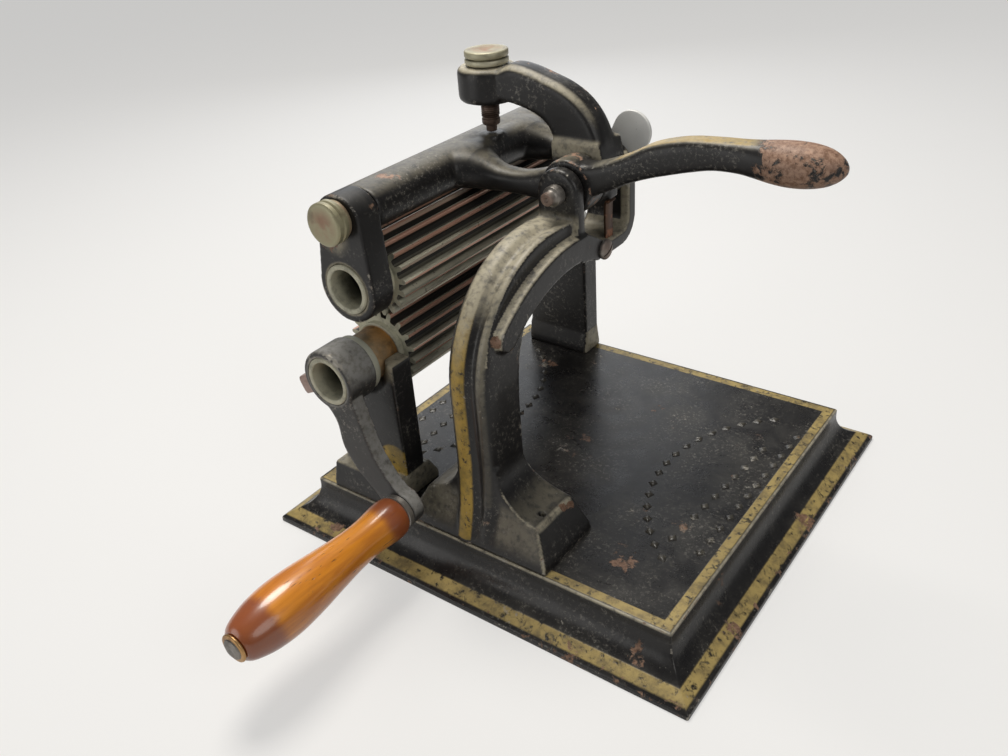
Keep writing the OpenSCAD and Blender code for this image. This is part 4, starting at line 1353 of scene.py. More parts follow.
@dataclass
class BasePlate:
    """Square base with a hollow moulding, painted stripes and rows of raised lozenges."""

    kit: Kit
    repeats: Repeats
    top: float = 23.0
    rim: float = 16.0
    cove: Flat = (8.6, 13.2)
    cove_top: float = 19.6
    corner_r: float = 0.9
    lozenge: Point = (6.6, 5.2, 0.95)
    bolt_head: float = 5.0
    bolt_shank: float = 19.0
    spots: tuple[Point, ...] = (
        (61, -66, 15), (17, 50, 9), (-17, -8, 11), (86, -98, 8), (111, -60, 12), (112, 20, 14),
        (60, -107, 10), (-60, 60, 14), (-108, 30, 12), (20, 105, 12), (-80, -104, 9))
    stripe: Flat = (17.3, 21.9)
    foot: Outline = field(default_factory=lambda: [(0, 0), (0, 2.2), (2.2, 3.8), (7.4, 6.4)])
    under: Outline = field(default_factory=lambda: [(60, 18), (20, 18), (11.4, 3.9), (5, 1), (5, 0)])
    flat: tuple[float, ...] = (23, 25, 28, 33, 40, 50, 62, 76)

    def profile(self) -> Outline:
        """Inset and height along the moulding, evenly stepped and with soft corners.

        Returns:
            The points.
        """
        deep, tall = self.cove
        cove_r = (deep ** 2 + tall ** 2) / (2 * deep)
        sweep = math.degrees(math.asin(tall / cove_r))
        line = self.foot + arc(self.rim - cove_r, self.cove_top, cove_r, -sweep, 0, 14)[1:]
        line += [(self.rim, self.top), (22.5, self.top)]
        steps: list[Array] = []
        for a, b in zip(line, line[1:]):
            a, b = np.array(a, float), np.array(b, float)
            n = max(1, round(float(np.linalg.norm(b - a)) / 0.4))
            steps += [a + (b - a) * k / n for k in range(n)]
        path = np.array(steps + [np.array(line[-1], float)])
        for _ in range(3):
            path[1:-1] = 0.5 * path[1:-1] + 0.25 * (path[:-2] + path[2:])
        return [tuple(p) for p in path]

    def loop(self, inward: float, height: float) -> list[Point]:
        """One rectangle of the moulding, with small round corners.

        Args:
            inward: How far it is drawn in from the base's edge.
            height: Its height.

        Returns:
            The points in order.
        """
        low, high = span("base_plate")
        half = ((high.x - low.x) / 2 - inward, (high.y - low.y) / 2 - inward)
        r, sides = self.corner_r, 44
        corners = [arc(sx * (half[0] - r), sy * (half[1] - r), r, 90 * quarter, 90 * quarter + 90, 4)
                   for quarter, (sx, sy) in enumerate(((1, 1), (-1, 1), (-1, -1), (1, -1)))]
        out: Outline = []
        for corner, after in zip(corners, corners[1:] + corners[:1]):
            (x0, y0), (x1, y1) = corner[-1], after[0]
            out += corner
            out += [(x0 + (x1 - x0) * k / sides, y0 + (y1 - y0) * k / sides) for k in range(1, sides)]
        return [(x, y, height) for x, y in out]

    def build(self) -> None:
        """Builds and dresses the plate."""
        line = self.under + self.profile() + [(i, self.top) for i in self.flat]
        piece = Form("base_plate_piece").rings([self.loop(i, z) for i, z in line]).build()
        _, high = span("base_plate")

        def inward(p: Skin) -> Array:
            """Distance from the base's nearest side."""
            return np.minimum(high.x - np.abs(p.x), high.y - np.abs(p.y))

        def border(p: Skin) -> Array:
            """Painted lines on the foot and on the top."""
            band = between(inward(p), 1.9, 7.3, 0.25) * (p.z < 7.5) * (p.z > 2.6)
            return np.maximum(band, between(inward(p), *self.stripe, 0.2) * (p.z > self.top - 0.4))

        def scuffs(p: Skin) -> Array:
            """Rusty spots and the worn lip."""
            lip = 0.5 * (p.z < 4) * (p.z > -0.1) * (inward(p) < 3.5)
            return np.maximum(0.75 * p.near(self.spots, 0.25), lip)

        def rim(p: Skin) -> Array:
            """Pale line on the top's front and right edges: a painted highlight.

            Args:
                p: The piece's skin.

            Returns:
                The mask.
            """
            corner = (98, -93, self.top)
            # Painted highlight: thin pale lines along the top's front and right edges.
            return 0.85 * np.maximum(p.along((-98, -93, self.top), corner, 1.2),
                                     p.along(corner, (98, 93, self.top), 1.2))

        measure(piece, 0.55, {"gold": border, "bare": scuffs, "cream": rim}, sharp=60)
        self.kit.place(piece, Body.FRAME, self.kit.japan_base, Slot.JAPAN, "base_plate")

    def ornament(self) -> None:
        """Sets rows of plain raised lozenges on the plate's two halves."""
        z = self.top - 0.15
        bow = arc(122, 6, 78, 128, 232, 30)
        rows = [(bow, 17), ([(72, -42), (79.5, 40)], 10), ([(86.5, -44), (90, 58)], 12)]
        long, wide, tall = (v * MM for v in self.lozenge)
        parts = []
        for mirror in (1, -1):
            for line, count in rows:
                path = path_object("lozenge_path", [(mirror * x, y, z) for x, y in line])
                parts.append(self.repeats.lozenges.run(
                    path, self.kit.japan_raised, Count=count, Length=long, Width=wide, Height=tall))
        piece = joined(parts[0], parts[1:])
        piece.name = "base_lozenges"
        measure(piece, 0.4, {"cream": lambda p: 0.12 * (p.z > self.top + 0.4)}, sharp=TURNED_SHARP)
        self.kit.place(piece, Body.FRAME, self.kit.japan_raised, Slot.JAPAN)

    def bolt_row(self, name: str, spots: Sequence[Point], head_r: float, shank_r: float) -> Thing:
        """Sets bolts with the undersides of their heads at some points.

        Args:
            name: Name of the object.
            spots: The points.
            head_r: Radius of the heads.
            shank_r: Radius of the shanks.

        Returns:
            The object.
        """
        return self.repeats.bolts.run(
            path_object(name, spots, False), self.kit.bolt, Head_Radius=head_r * MM, Head_Height=self.bolt_head * MM,
            Shank_Radius=shank_r * MM, Shank_Length=self.bolt_shank * MM)

    def bolts(self) -> None:
        """Hangs the bolts under the plate that hold standard and posts."""
        low, high = span("standard_bolts")
        wide = (high.y - low.y) / math.sqrt(3)
        y = (low.y + high.y) / 2
        big = self.bolt_row("bolts_piece", [(low.x + wide, y, low.z), (high.x - wide, y, low.z)], wide, 4)
        low, high = span("post_bolts")
        r = 4.25
        spots = [(x, y, low.z) for x in (low.x + r, high.x - r)
                 for y in (low.y + r * math.sqrt(3) / 2, high.y - r * math.sqrt(3) / 2)]
        joined(big, [self.bolt_row("small_bolts", spots, r, 2.5)])
        measure(big)
        self.kit.place(big, Body.FRAME, self.kit.bolt, Slot.BOLT, "standard_bolts", "post_bolts")


@dataclass
class Standard:
    """Leg with a flared foot, ribbed arch, side flange and the yoke for the pin."""

    kit: Kit
    left: float = -11.0
    flange: float = 12.0
    ear_r: float = 10.5
    ridge: float = 41.0
    flare: float = 63.0
    stripe: Flat = (-8.6, -2.1)
    front: Flat = (-16, -9.4)
    rear: Flat = (24.8, 31.4)
    swell: tuple[Flat, ...] = (
        (-11, -1.8), (-10.5, -0.8), (-9.6, -0.2), (-8.6, 0.25), (-7, 0.6), (-5.2, 0.75), (-3.6, 0.6),
        (-2.3, 0.1), (-1.3, -0.7), (-0.3, -1.5), (0.8, -1.9), (2, -1.5), (3.2, -0.7), (4.4, -0.1), (5.6, 0),
        (6.6, -0.3), (7.4, -0.9))
    cheek: tuple[Point, ...] = (
        (5, 126, 0), (7.4, 124, -0.9), (8.4, 116, -2.2), (9.1, 107, -4.2), (9.5, 99, -7))
    foot_front: tuple[Flat, ...] = ((23, -92.4), (26, -92), (41, -85.4), (69, -84.4))
    foot_back: tuple[Flat, ...] = ((23, -54), (26, -54.4), (41, -58), (51, -61.8), (57, -63.4))

    def outer(self) -> Outline:
        """Front of leg and back of arch, in Y and Z, from the base up."""
        foot = [(-92.4, 23), (-92, 26), (-88.4, 41), (-87.2, 52), (-86.4, 63), (-86.4, 80)]
        return foot + arc(-31.9, 97, 54.5, 180, 90, 36) + [(-24, 151.4), (-16, 150.4)]

    def inner(self) -> Outline:
        """Inside of the arch and back of the leg, from the ear down."""
        foot = [(-63.4, 57), (-61.8, 51), (-58, 41), (-54.4, 26), (-54, 23)]
        return [(-9.4, 147), (-9.4, 132)] + arc(-21.4, 93, 42, 75, 180, 24) + foot

    def leg(self, top: float, out: float) -> Outline:
        """Side of the leg up to a height, moved out in front by a distance.

        Args:
            top: Height of its upper end.
            out: How far its front is moved out.

        Returns:
            The closed outline.
        """
        heights = np.linspace(23, top, 20)
        front = sorted((z, y) for y, z in self.outer() if y < -30)
        back = sorted((z, y) for y, z in self.inner() if y < -22)
        line = [(float(np.interp(z, *zip(*front))) - out, float(z)) for z in heights]
        return line + [(float(np.interp(z, *zip(*back))), float(z)) for z in heights[::-1]]

    def foot_block(self, form: Form) -> None:
        """Adds the two flared halves of the foot.

        Args:
            form: Form that takes the shells.
        """
        for sign, root in ((-1, 11), (1, 9.5)):
            dx, dz = 30.0 - root, self.flare - self.ridge
            r = (dx * dx + dz * dz) / (2 * dx)
            sweep = math.degrees(math.asin(min(1, dz / r)))
            line = [(38, 23), (37.5, 26), (33.8, 33.5)]
            line += [(root - p[0], p[1]) for p in arc(-r, self.flare, r, -sweep, 0, 14)]
            rings = []
            for x, z in line:
                y0, y1 = (float(np.interp(z, *zip(*edge))) for edge in (self.foot_front, self.foot_back))
                rings.append([(0, y0, z), (sign * x, y0, z), (sign * x, y1, z), (0, y1, z)])
            form.rings(rings)

    def band(self) -> Outline:
        """Flange on the right of the arch, from its round end to the front ear.

        Returns:
            The closed outline.
        """
        y, z, r, w = -21.4, 60.9, 83.6, 11.6
        end = math.degrees(math.acos((self.front[1] - y) / r))
        tip = math.radians(129.5)
        mid = r - w / 2
        return (arc(y, z, r, end, 129.5, 20)
                + arc(y + mid * math.cos(tip), z + mid * math.sin(tip), w / 2, 129.5, 309.5, 10)
                + arc(y, z, r - w, 129.5, end, 20))

    def yoke(self) -> Outline:
        """Side of the yoke, which dips behind the front ear and bends up to the rear one.

        Returns:
            The closed outline.
        """
        y = self.rear[0] - 6.0
        return ([(-16, 131.9), (-16, 143.6), (-9.4, 143.6), (-4, 140.6), (2.6, 136.4), (9, 134.2)]
                + arc(y, 140, 6, -90, 0, 8) + [(self.rear[0], PIVOT[1]), (self.rear[1], PIVOT[1])]
                + arc(y, 140, 12.6, 0, -90, 10) + [(-1.4, 127.6), (-7, 129.8)])

    def ear(self, form: Form, where: Flat, foot: Flat, low: float) -> None:
        """Adds an ear with a round top."""
        outline = [(foot[0], low), (foot[1], low), (self.ear_r, 158)] + arc(*PIVOT, self.ear_r, 0, 180, 28)
        form.prism(Axis.Y, outline + [(-self.ear_r, 158)], where[0], where[1], 1.2)

    def build(self) -> None:
        """Builds and dresses the casting."""
        form = Form("standard_piece")
        line = self.outer()
        fade = np.array([ramp(np.array(y), -17, -32) for y, _ in line])
        form.layers(Axis.X, [(x, shifted(line, out * fade) + self.inner()) for x, out in self.swell])
        form.layers(Axis.X, [(x, self.leg(top, out)) for x, top, out in self.cheek])
        self.foot_block(form)
        form.prism(Axis.X, self.band(), 4, self.flange, 0.5)
        form.prism(Axis.X, self.yoke(), self.left, self.flange, 0.6)
        self.ear(form, self.front, (-10.5, 10.5), 141)
        self.ear(form, self.rear, (self.left, self.flange), 140)
        hole = drill(Axis.Z, (26.4, -76.4), 1.3, 36, 50, 24)
        piece = cast(form.build(), voxel=0.7, rounds=4, cutters=[hole])

        def on_front(p: Skin) -> Array:
            """Faces that look forwards or up."""
            return ramp(p.nz - p.ny, 0.25, 0.7) * (np.abs(p.nx) < 0.8)

        def gold(p: Skin) -> Array:
            """Painted stripe on the front of the leg."""
            fade = ramp(p.z, 140, 120)
            return between(p.x, *self.stripe, 0.35) * on_front(p) * fade * (p.y < -40) * (p.z > 25)

        def cream(p: Skin) -> Array:
            """Rubbed and dusty places on arch, yoke and foot, a painted highlight along the foot's front ridge and a
            painted sheen on the foot's front faces.

            Args:
                p: The piece's skin.

            Returns:
                The mask.
            """
            front = on_front(p) * (p.y < -17)
            high = 0.9 * ramp(p.z, 104, 138) * between(p.x, *self.stripe)
            second = (0.12 + 0.4 * ramp(p.z, 80, 125)) * between(p.x, 3.6, 7.6, 0.6) * (p.z > 44)
            rim = between(p.x, 7.4, 11.6, 0.4) * (p.z > 113)
            saddle = between(p.x, -10, 11.4, 0.5) * (p.y > -9.2) * (p.z < 158) * (p.nz > 0.4)
            lip = between(p.x, 8, 12.1, 0.3) * (p.y > -6) * ramp(p.nz - p.ny, 0.2, 0.6)
            crown = 0.6 * between(p.y, -27, -16.4, 1) * (p.z > 146) * ramp(p.nz, 0.3, 0.8)
            ledge = 0.3 * ramp(p.nz, 0.55, 0.95) * between(p.z, 41.2, 52, 0.6)
            ear = 0.75 * (p.ny < -0.5) * between(p.y, -17.5, -15, 0.5) * ramp(p.z, 155, 149)
            arch = 0.8 * ramp(p.z, 124, 143) * between(p.x, -9.4, 8, 0.6)
            # Painted highlight: a pale line along the top of the foot's front faces.
            ridge = (0.9 * ramp(p.nz, 0.3, 0.5) * ramp(-p.ny, 0.25, 0.45) * (p.x > 10)
                     * between(p.z, 40.5, 56, 0.5) * (p.y < -83))
            # Painted sheen: a grey reflection on the front faces of the foot.
            painted_sheen = (0.34 * (p.ny < -0.6) * between(p.z, 29, 45, 4)
                    * ramp(np.abs(p.x + 0.7), 10, 13))
            corner = 0.8 * p.along((38, -92.4, 24), (30, -85.4, 41), 1.1)
            strip = 0.8 * p.along((30.6, -84, 40.4), (30.6, -61, 40.4), 2.4)
            painted = front * np.maximum.reduce([high, second, rim, arch])
            return np.maximum.reduce([painted, 0.85 * saddle, lip, crown, ledge, ear, ridge, painted_sheen, corner, strip])

        def scuffs(p: Skin) -> Array:
            """Rusty spots."""
            return 0.85 * p.near(((31, -66, 40, 4), (31.5, -61, 38, 4.5), (9, -76, 122, 5)))

        measure(piece, CAST_REACH, {"gold": gold, "cream": cream, "bare": scuffs})
        self.kit.place(piece, Body.FRAME, self.kit.japan, Slot.JAPAN, "standard")


@dataclass
class Posts:
    """The two bearing posts of the lower roller."""

    kit: Kit

    def build(self) -> None:
        """Builds and dresses both posts."""
        def panel(p: Skin) -> Array:
            """Painted panel at the front post's foot."""
            top = 52.0 - 0.06 * (p.x + 53) ** 2
            return ramp(p.z, top + 0.5, top - 0.5) * (p.z > 36.5) * (p.ny < -0.5)

        def lip(p: Skin) -> Array:
            """Rubbed top, ledge and side of the foot.

            Args:
                p: The piece's skin.

            Returns:
                The mask.
            """
            top = 0.9 * ramp(p.z, 86, 93) * ramp(p.nz - p.ny, 0.4, 0.9)
            ledge = 0.7 * (p.z < 40) * ramp(p.nz, 0.5, 0.9)
            foot = 0.72 * (p.z < 36.5) * (p.nx > 0.6)
            return np.maximum.reduce([top, ledge, foot])

        for node in ("front_post", "rear_post"):
            piece = cast(node_copy(node), voxel=0.75, rounds=5)
            masks = {"gold": panel, "cream": lip} if node == "front_post" else {"cream": lip}
            measure(piece, CAST_REACH, masks)
            self.kit.place(piece, Body.FRAME, self.kit.japan_dusty, Slot.JAPAN, node)


@dataclass
class Rollers:
    """Two hollow fluted rollers with their journals."""

    kit: Kit
    repeats: Repeats
    count: int = 18
    pitch_r: float = 18.1
    crest: float = 1.4
    root: float = 2.7
    play: float = 1.4
    slope: float = 20.0
    journal_r: float = 11.5
    bore_r: float = 9.25
    core_r: float = 12.2
    shoulder_r: float = 13.0
    shoulder: float = 3.0
    flutes: Flat = (-65.6, 75.4)
    lip: float = 0.05

    def tooth(self, name: str, first: float) -> Thing:
        """Makes one flute with half a groove on each side, about the Y axis at the origin.

        Args:
            name: Name of the object.
            first: Angle of the flute in degrees.

        Returns:
            The object.
        """
        wide = (2 * math.pi * self.pitch_r / self.count - self.play) / 2
        land = wide - 2 * self.crest * math.tan(math.radians(self.slope))
        low, tip, core = self.pitch_r - self.root, self.pitch_r + self.crest, self.core_r
        half = math.pi / self.count

        def at(width: float, r: float) -> Flat:
            """Angle and radius of a point on the flute's side, from the flute's width there."""
            return (math.asin(width / 2 / r), r)

        side = [(half, low), (half * 0.8, low), (at(wide + 0.7, low)[0], low), at(wide, low + 0.5),
                at(wide, self.pitch_r - 0.2), at(wide - 0.25, self.pitch_r + 0.3), at(land + 0.2, tip - 0.3),
                at(land - 0.15, tip - 0.05), at(land - 0.6, tip)]
        section = [(-a, r) for a, r in side] + [(a, r) for a, r in reversed(side)]
        section += [(half, core), (0, core), (-half, core)]
        turn = math.radians(first)
        mesh = bpy.data.meshes.new(name)
        near, far = self.flutes
        places = [near, *np.linspace(near + self.lip, far - self.lip, 24), far]
        rows = len(places) - 1
        points = []
        for y in places:
            points += [(r * math.cos(a + turn) * MM, y * MM, r * math.sin(a + turn) * MM) for a, r in section]
        n = len(section)
        faces = []
        for k in range(rows):
            for i in list(range(2 * len(side) - 1)) + [n - 3, n - 2]:
                faces.append((k * n + i, (k + 1) * n + i, (k + 1) * n + i + 1, k * n + i + 1))
        faces += [tuple(range(n)), tuple(range((rows + 1) * n - 1, rows * n - 1, -1))]
        mesh.from_pydata(points, [], faces)
        return linked(name, mesh)

    def build_one(self, node: str, body: Body, first: float) -> None:
        """Builds and dresses one roller.

        Args:
            node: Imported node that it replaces.
            body: Body that carries it.
            first: Angle of its first flute in degrees.
        """
        low, high = span(node)
        x, z = (low.x + high.x) / 2, (low.z + high.z) / 2
        if node == "upper_roller":
            x, z = centre("lower_roller").x, centre("lower_roller").z + 2 * self.pitch_r
        ring = self.repeats.flutes.run(self.tooth(node + "_piece", first), self.kit.flutes, Count=self.count)
        moved(ring, (x, 0, z))
        y0, y1 = low.y, high.y
        (f0, f1), s = self.flutes, self.shoulder
        bore, neck_r, wide = self.bore_r, self.journal_r, self.shoulder_r
        core = Form("core").turned(Axis.Y, (x, z), [
            (y0, bore + 0.4), (y0, neck_r - 0.4), (y0 + 0.4, neck_r), (f0 - s, neck_r), (f0 - s, wide - 0.3),
            (f0 - s + 0.3, wide), (f1 + s - 0.3, wide), (f1 + s, wide - 0.3), (f1 + s, neck_r), (y1 - 0.4, neck_r),
            (y1, neck_r - 0.4), (y1, bore + 0.4), (y1 - 0.4, bore), (y1 - 4, bore), (y1 - 14, bore),
            (y0 + 14, bore), (y0 + 4, bore), (y0 + 0.4, bore)], 72, closed=True).build()
        with edited(ring.data) as work:
            bmesh.ops.recalc_face_normals(work, faces=work.faces)
        joined(ring, [core])

        def radius(p: Skin) -> Array:
            """Distance from the roller's axis."""
            return p.off(Axis.Y, (x, z))

        def crest(p: Skin) -> Array:
            """Height from the floor of a groove to the land."""
            return (radius(p) - self.pitch_r + self.root) / (self.crest + self.root)

        def ends(p: Skin) -> Array:
            """Chalky end faces and mouths of the tube; deeper in the bore the chalk fades to the near-black groove
            colour as painted shade.

            Args:
                p: The piece's skin.

            Returns:
                The mask.
            """
            face = (p.y < f0 + self.lip / 2) | (p.y > f1 - self.lip / 2)
            shoulder = face & (radius(p) > neck_r + 0.1)
            depth = np.minimum(p.y - y0, y1 - p.y)
            # The chalk fades with depth, so the deep bore shows the near-black groove colour as painted shade.
            tube = (radius(p) < bore + 0.6) * ramp(depth, 14, 4)
            return np.maximum.reduce([shoulder.astype(float), tube, (depth < 0.6).astype(float)])

        def neck(p: Skin) -> Array:
            """Polished journals of the lower roller."""
            return ((np.abs(radius(p) - neck_r) < 0.6) & (node == "lower_roller")).astype(float)

        def lit(p: Skin) -> Array:
            """Side of each flute painted as lit; the other side is painted as shade.

            Args:
                p: The piece's skin.

            Returns:
                The mask.
            """
            pitch = 2 * math.pi / self.count
            angle = np.arctan2(p.z - z, p.x - x) - math.radians(first)
            off = (angle / pitch + 0.5) % 1.0 - 0.5
            # 1 on the side painted as lit, 0 on the side painted as shade.
            return np.where(np.abs(off) > 0.49, 0.3, off > 0) * (radius(p) > bore + 1)

        measure(ring, 0.6, {"crest": crest, "ends": ends, "neck": neck, "lit": lit}, sharp=32)
        self.kit.place(ring, body, self.kit.flutes, Slot.ROLLER, node)

    def build(self) -> None:
        """Builds both rollers, with the upper flutes in the lower grooves."""
        self.build_one("lower_roller", Body.CRANK, 90)
        nudge = math.degrees(0.4 / self.pitch_r)
        self.build_one("upper_roller", Body.UPPER, -90.0 + 180.0 / self.count + nudge)


@dataclass
class Crank:
    """Crank arm, its square-headed screw, the collars and the turned grip."""

    kit: Kit
    eye_r: float = 8.4
    hub_r: float = 14.5
    thick: float = 7.4
    screw_deg: float = 206.0
    grip_length: float = 92.0
    grip_bore: float = 3.56
    left: Outline = field(default_factory=lambda: [
        (-76, 86), (-70.5, 80), (-66, 72.5), (-64.4, 60), (-58.2, 49.5), (-48.5, 40), (-40, 30.5)])
    right: Outline = field(default_factory=lambda: [
        (-26.6, 42), (-36, 47.6), (-45.2, 61), (-49.6, 74), (-52, 83), (-53.5, 90)])

    def build(self) -> None:
        """Builds and dresses the crank's pieces."""
        self.arm()
        self.set_screw()
        self.collars()
        self.handle()

    def arm(self) -> None:
        """Casts the arm with its hub and lower eye."""
        low, high = span("crank_arm")
        axis = centre("lower_roller")
        hub = (axis.x, axis.z)
        eye = (centre("grip").x, centre("grip").z)
        y0, y1 = low.y, high.y
        outline = (curve(self.left, 6) + arc(*eye, self.eye_r, 225, 400, 20) + curve(self.right, 6)
                   + arc(*hub, 12.9, -20, -140, 10))
        form = Form("crank_arm_piece")
        form.prism(Axis.Y, outline, y0 + 0.3, y0 + self.thick, 1)
        form.turned(Axis.Y, hub, beaded(y0, y1, self.hub_r, 1, 11.3), closed=True)
        form.turned(Axis.Y, eye, beaded(y0 + 0.2, y0 + self.thick, self.eye_r, 0.9))
        cutters = [drill(Axis.Y, middle, r, y0 - 3, y1 + 3) for middle, r in ((hub, 11.6), (eye, 3.6))]
        piece = cast(form.build(), voxel=0.6, rounds=5, cutters=cutters)

        def pale(p: Skin) -> Array:
            """Paler faces that look up and to the right, and a ring round the bore.

            Args:
                p: The piece's skin.

            Returns:
                The mask.
            """
            top = ramp(p.nz + 0.6 * p.nx, 0.35, 0.95)
            ring = 0.7 * between(p.off(Axis.Y, hub), 11, 12.6, 0.4) * (p.ny < -0.5)
            return np.maximum(0.9 * top, ring)

        measure(piece, CAST_REACH, {"cream": pale})
        self.kit.place(piece, Body.CRANK, self.kit.japan_rubbed, Slot.JAPAN, "crank_arm")

    def set_screw(self) -> None:
        """Forges the square-headed screw in the hub."""
        axis = centre("lower_roller")
        middle = centre("crank_set_screw")
        angle = math.radians(self.screw_deg)
        out, across = (math.cos(angle), math.sin(angle)), (-math.sin(angle), math.cos(angle))

        def ring(s: float, half: float, power: float) -> list[Point]:
            """Ring of the screw at a distance from the roller's axis."""
            return [(axis.x + out[0] * s + across[0] * u, middle.y + v, axis.z + out[1] * s + across[1] * u)
                    for u, v in rounded(half, half, power, 40)]

        form = Form("crank_set_screw_piece")
        form.rings([ring(11.6, 3, 2), ring(16.6, 3, 2)])
        form.rings([ring(16, 3.9, 3), ring(16.4, 4.4, 7), ring(17, 4.5, 9), ring(24.4, 4.5, 9),
                    ring(25.4, 4.1, 6), ring(26, 3.2, 3)])
        piece = form.build()
        measure(piece, TURNED_REACH, sharp=TURNED_SHARP)
        self.kit.place(piece, Body.CRANK, self.kit.set_screw, Slot.BOLT, "crank_set_screw")

    def collars(self) -> None:
        """Turns the collars on the lower roller and the grub screw."""
        axis = centre("lower_roller")
        for node, finish in (("crank_collar", self.kit.collar), ("rear_collar", self.kit.bare)):
            low, high = span(node)
            self.kit.turn(node, Axis.Y, (axis.x, axis.z), beaded(low.y, high.y, (high.z - low.z) / 2, 0.5, 11.55),
                          Body.CRANK, finish, Slot.BARE, closed=True)
        low, high = span("rear_collar_screw")
        spot = centre("rear_collar_screw")
        r = (high.x - low.x) / 2
        self.kit.turn("rear_collar_screw", Axis.Z, (spot.x, spot.y), [
            (low.z, 0), (low.z, r), (high.z - 0.15, r), (high.z, r - 0.2), (high.z, 0.4), (high.z - 0.5, 0.3),
            (high.z - 0.5, 0)], Body.CRANK, self.kit.bolt, Slot.BOLT, 32, reach=0.8, sharp=50)

    def handle(self) -> None:
        """Turns the wooden grip, its spindle and its end washer."""
        low, high = span("grip")
        axis = (centre("grip").x, centre("grip").z)
        shape = curve([(0, 8.2), (1.2, 9.2), (4, 9.75), (8, 9.7), (13, 9.1), (20, 8.65), (30, 9),
                       (42, 10.2), (54, 11.6), (65, 12.4), (73, 12.3), (80, 11.5), (86, 10),
                       (90, 8.4), (92, 6.6)], 5)
        k = (high.y - low.y) / self.grip_length
        profile = [(high.y, self.grip_bore), *((high.y - s * k, r) for s, r in shape), (low.y, self.grip_bore)]

        def dark(p: Skin) -> Array:
            """Dark ends of the wood."""
            s = (high.y - p.y) / k
            return np.maximum(0.85 * ramp(s, 19, 8), ramp(s, 70, 84))

        self.kit.turn("grip", Axis.Y, axis, profile, Body.GRIP, self.kit.wood, Slot.WOOD, 72, True, 0.5, 60,
                      {"dark": dark})
        w0, w1 = span("grip_washer")
        self.kit.turn("grip_washer", Axis.Y, axis, beaded(w0.y, w1.y, (w1.x - w0.x) / 2, 0.6, 3.55), Body.CRANK,
                      self.kit.brass, Slot.BRASS, closed=True)
        s0, s1 = span("grip_spindle")
        flange = high.y + 0.3
        self.kit.turn("grip_spindle", Axis.Y, axis, [
            (s0.y + 0.35, 0), (s0.y, 1.6), (s0.y + 0.1, 3.2), (s0.y + 0.6, 4.4), (w0.y, 4.7), (w0.y, 3.5),
            (flange, 3.5), (flange, 8.1), (flange + 0.4, 8.5), (flange + 2.6, 8.5), (flange + 3, 8.1),
            (flange + 3, 3.5), (s1.y - 0.4, 3.5), (s1.y, 3), (s1.y, 0)], Body.CRANK, self.kit.bolt, Slot.BOLT, 48)


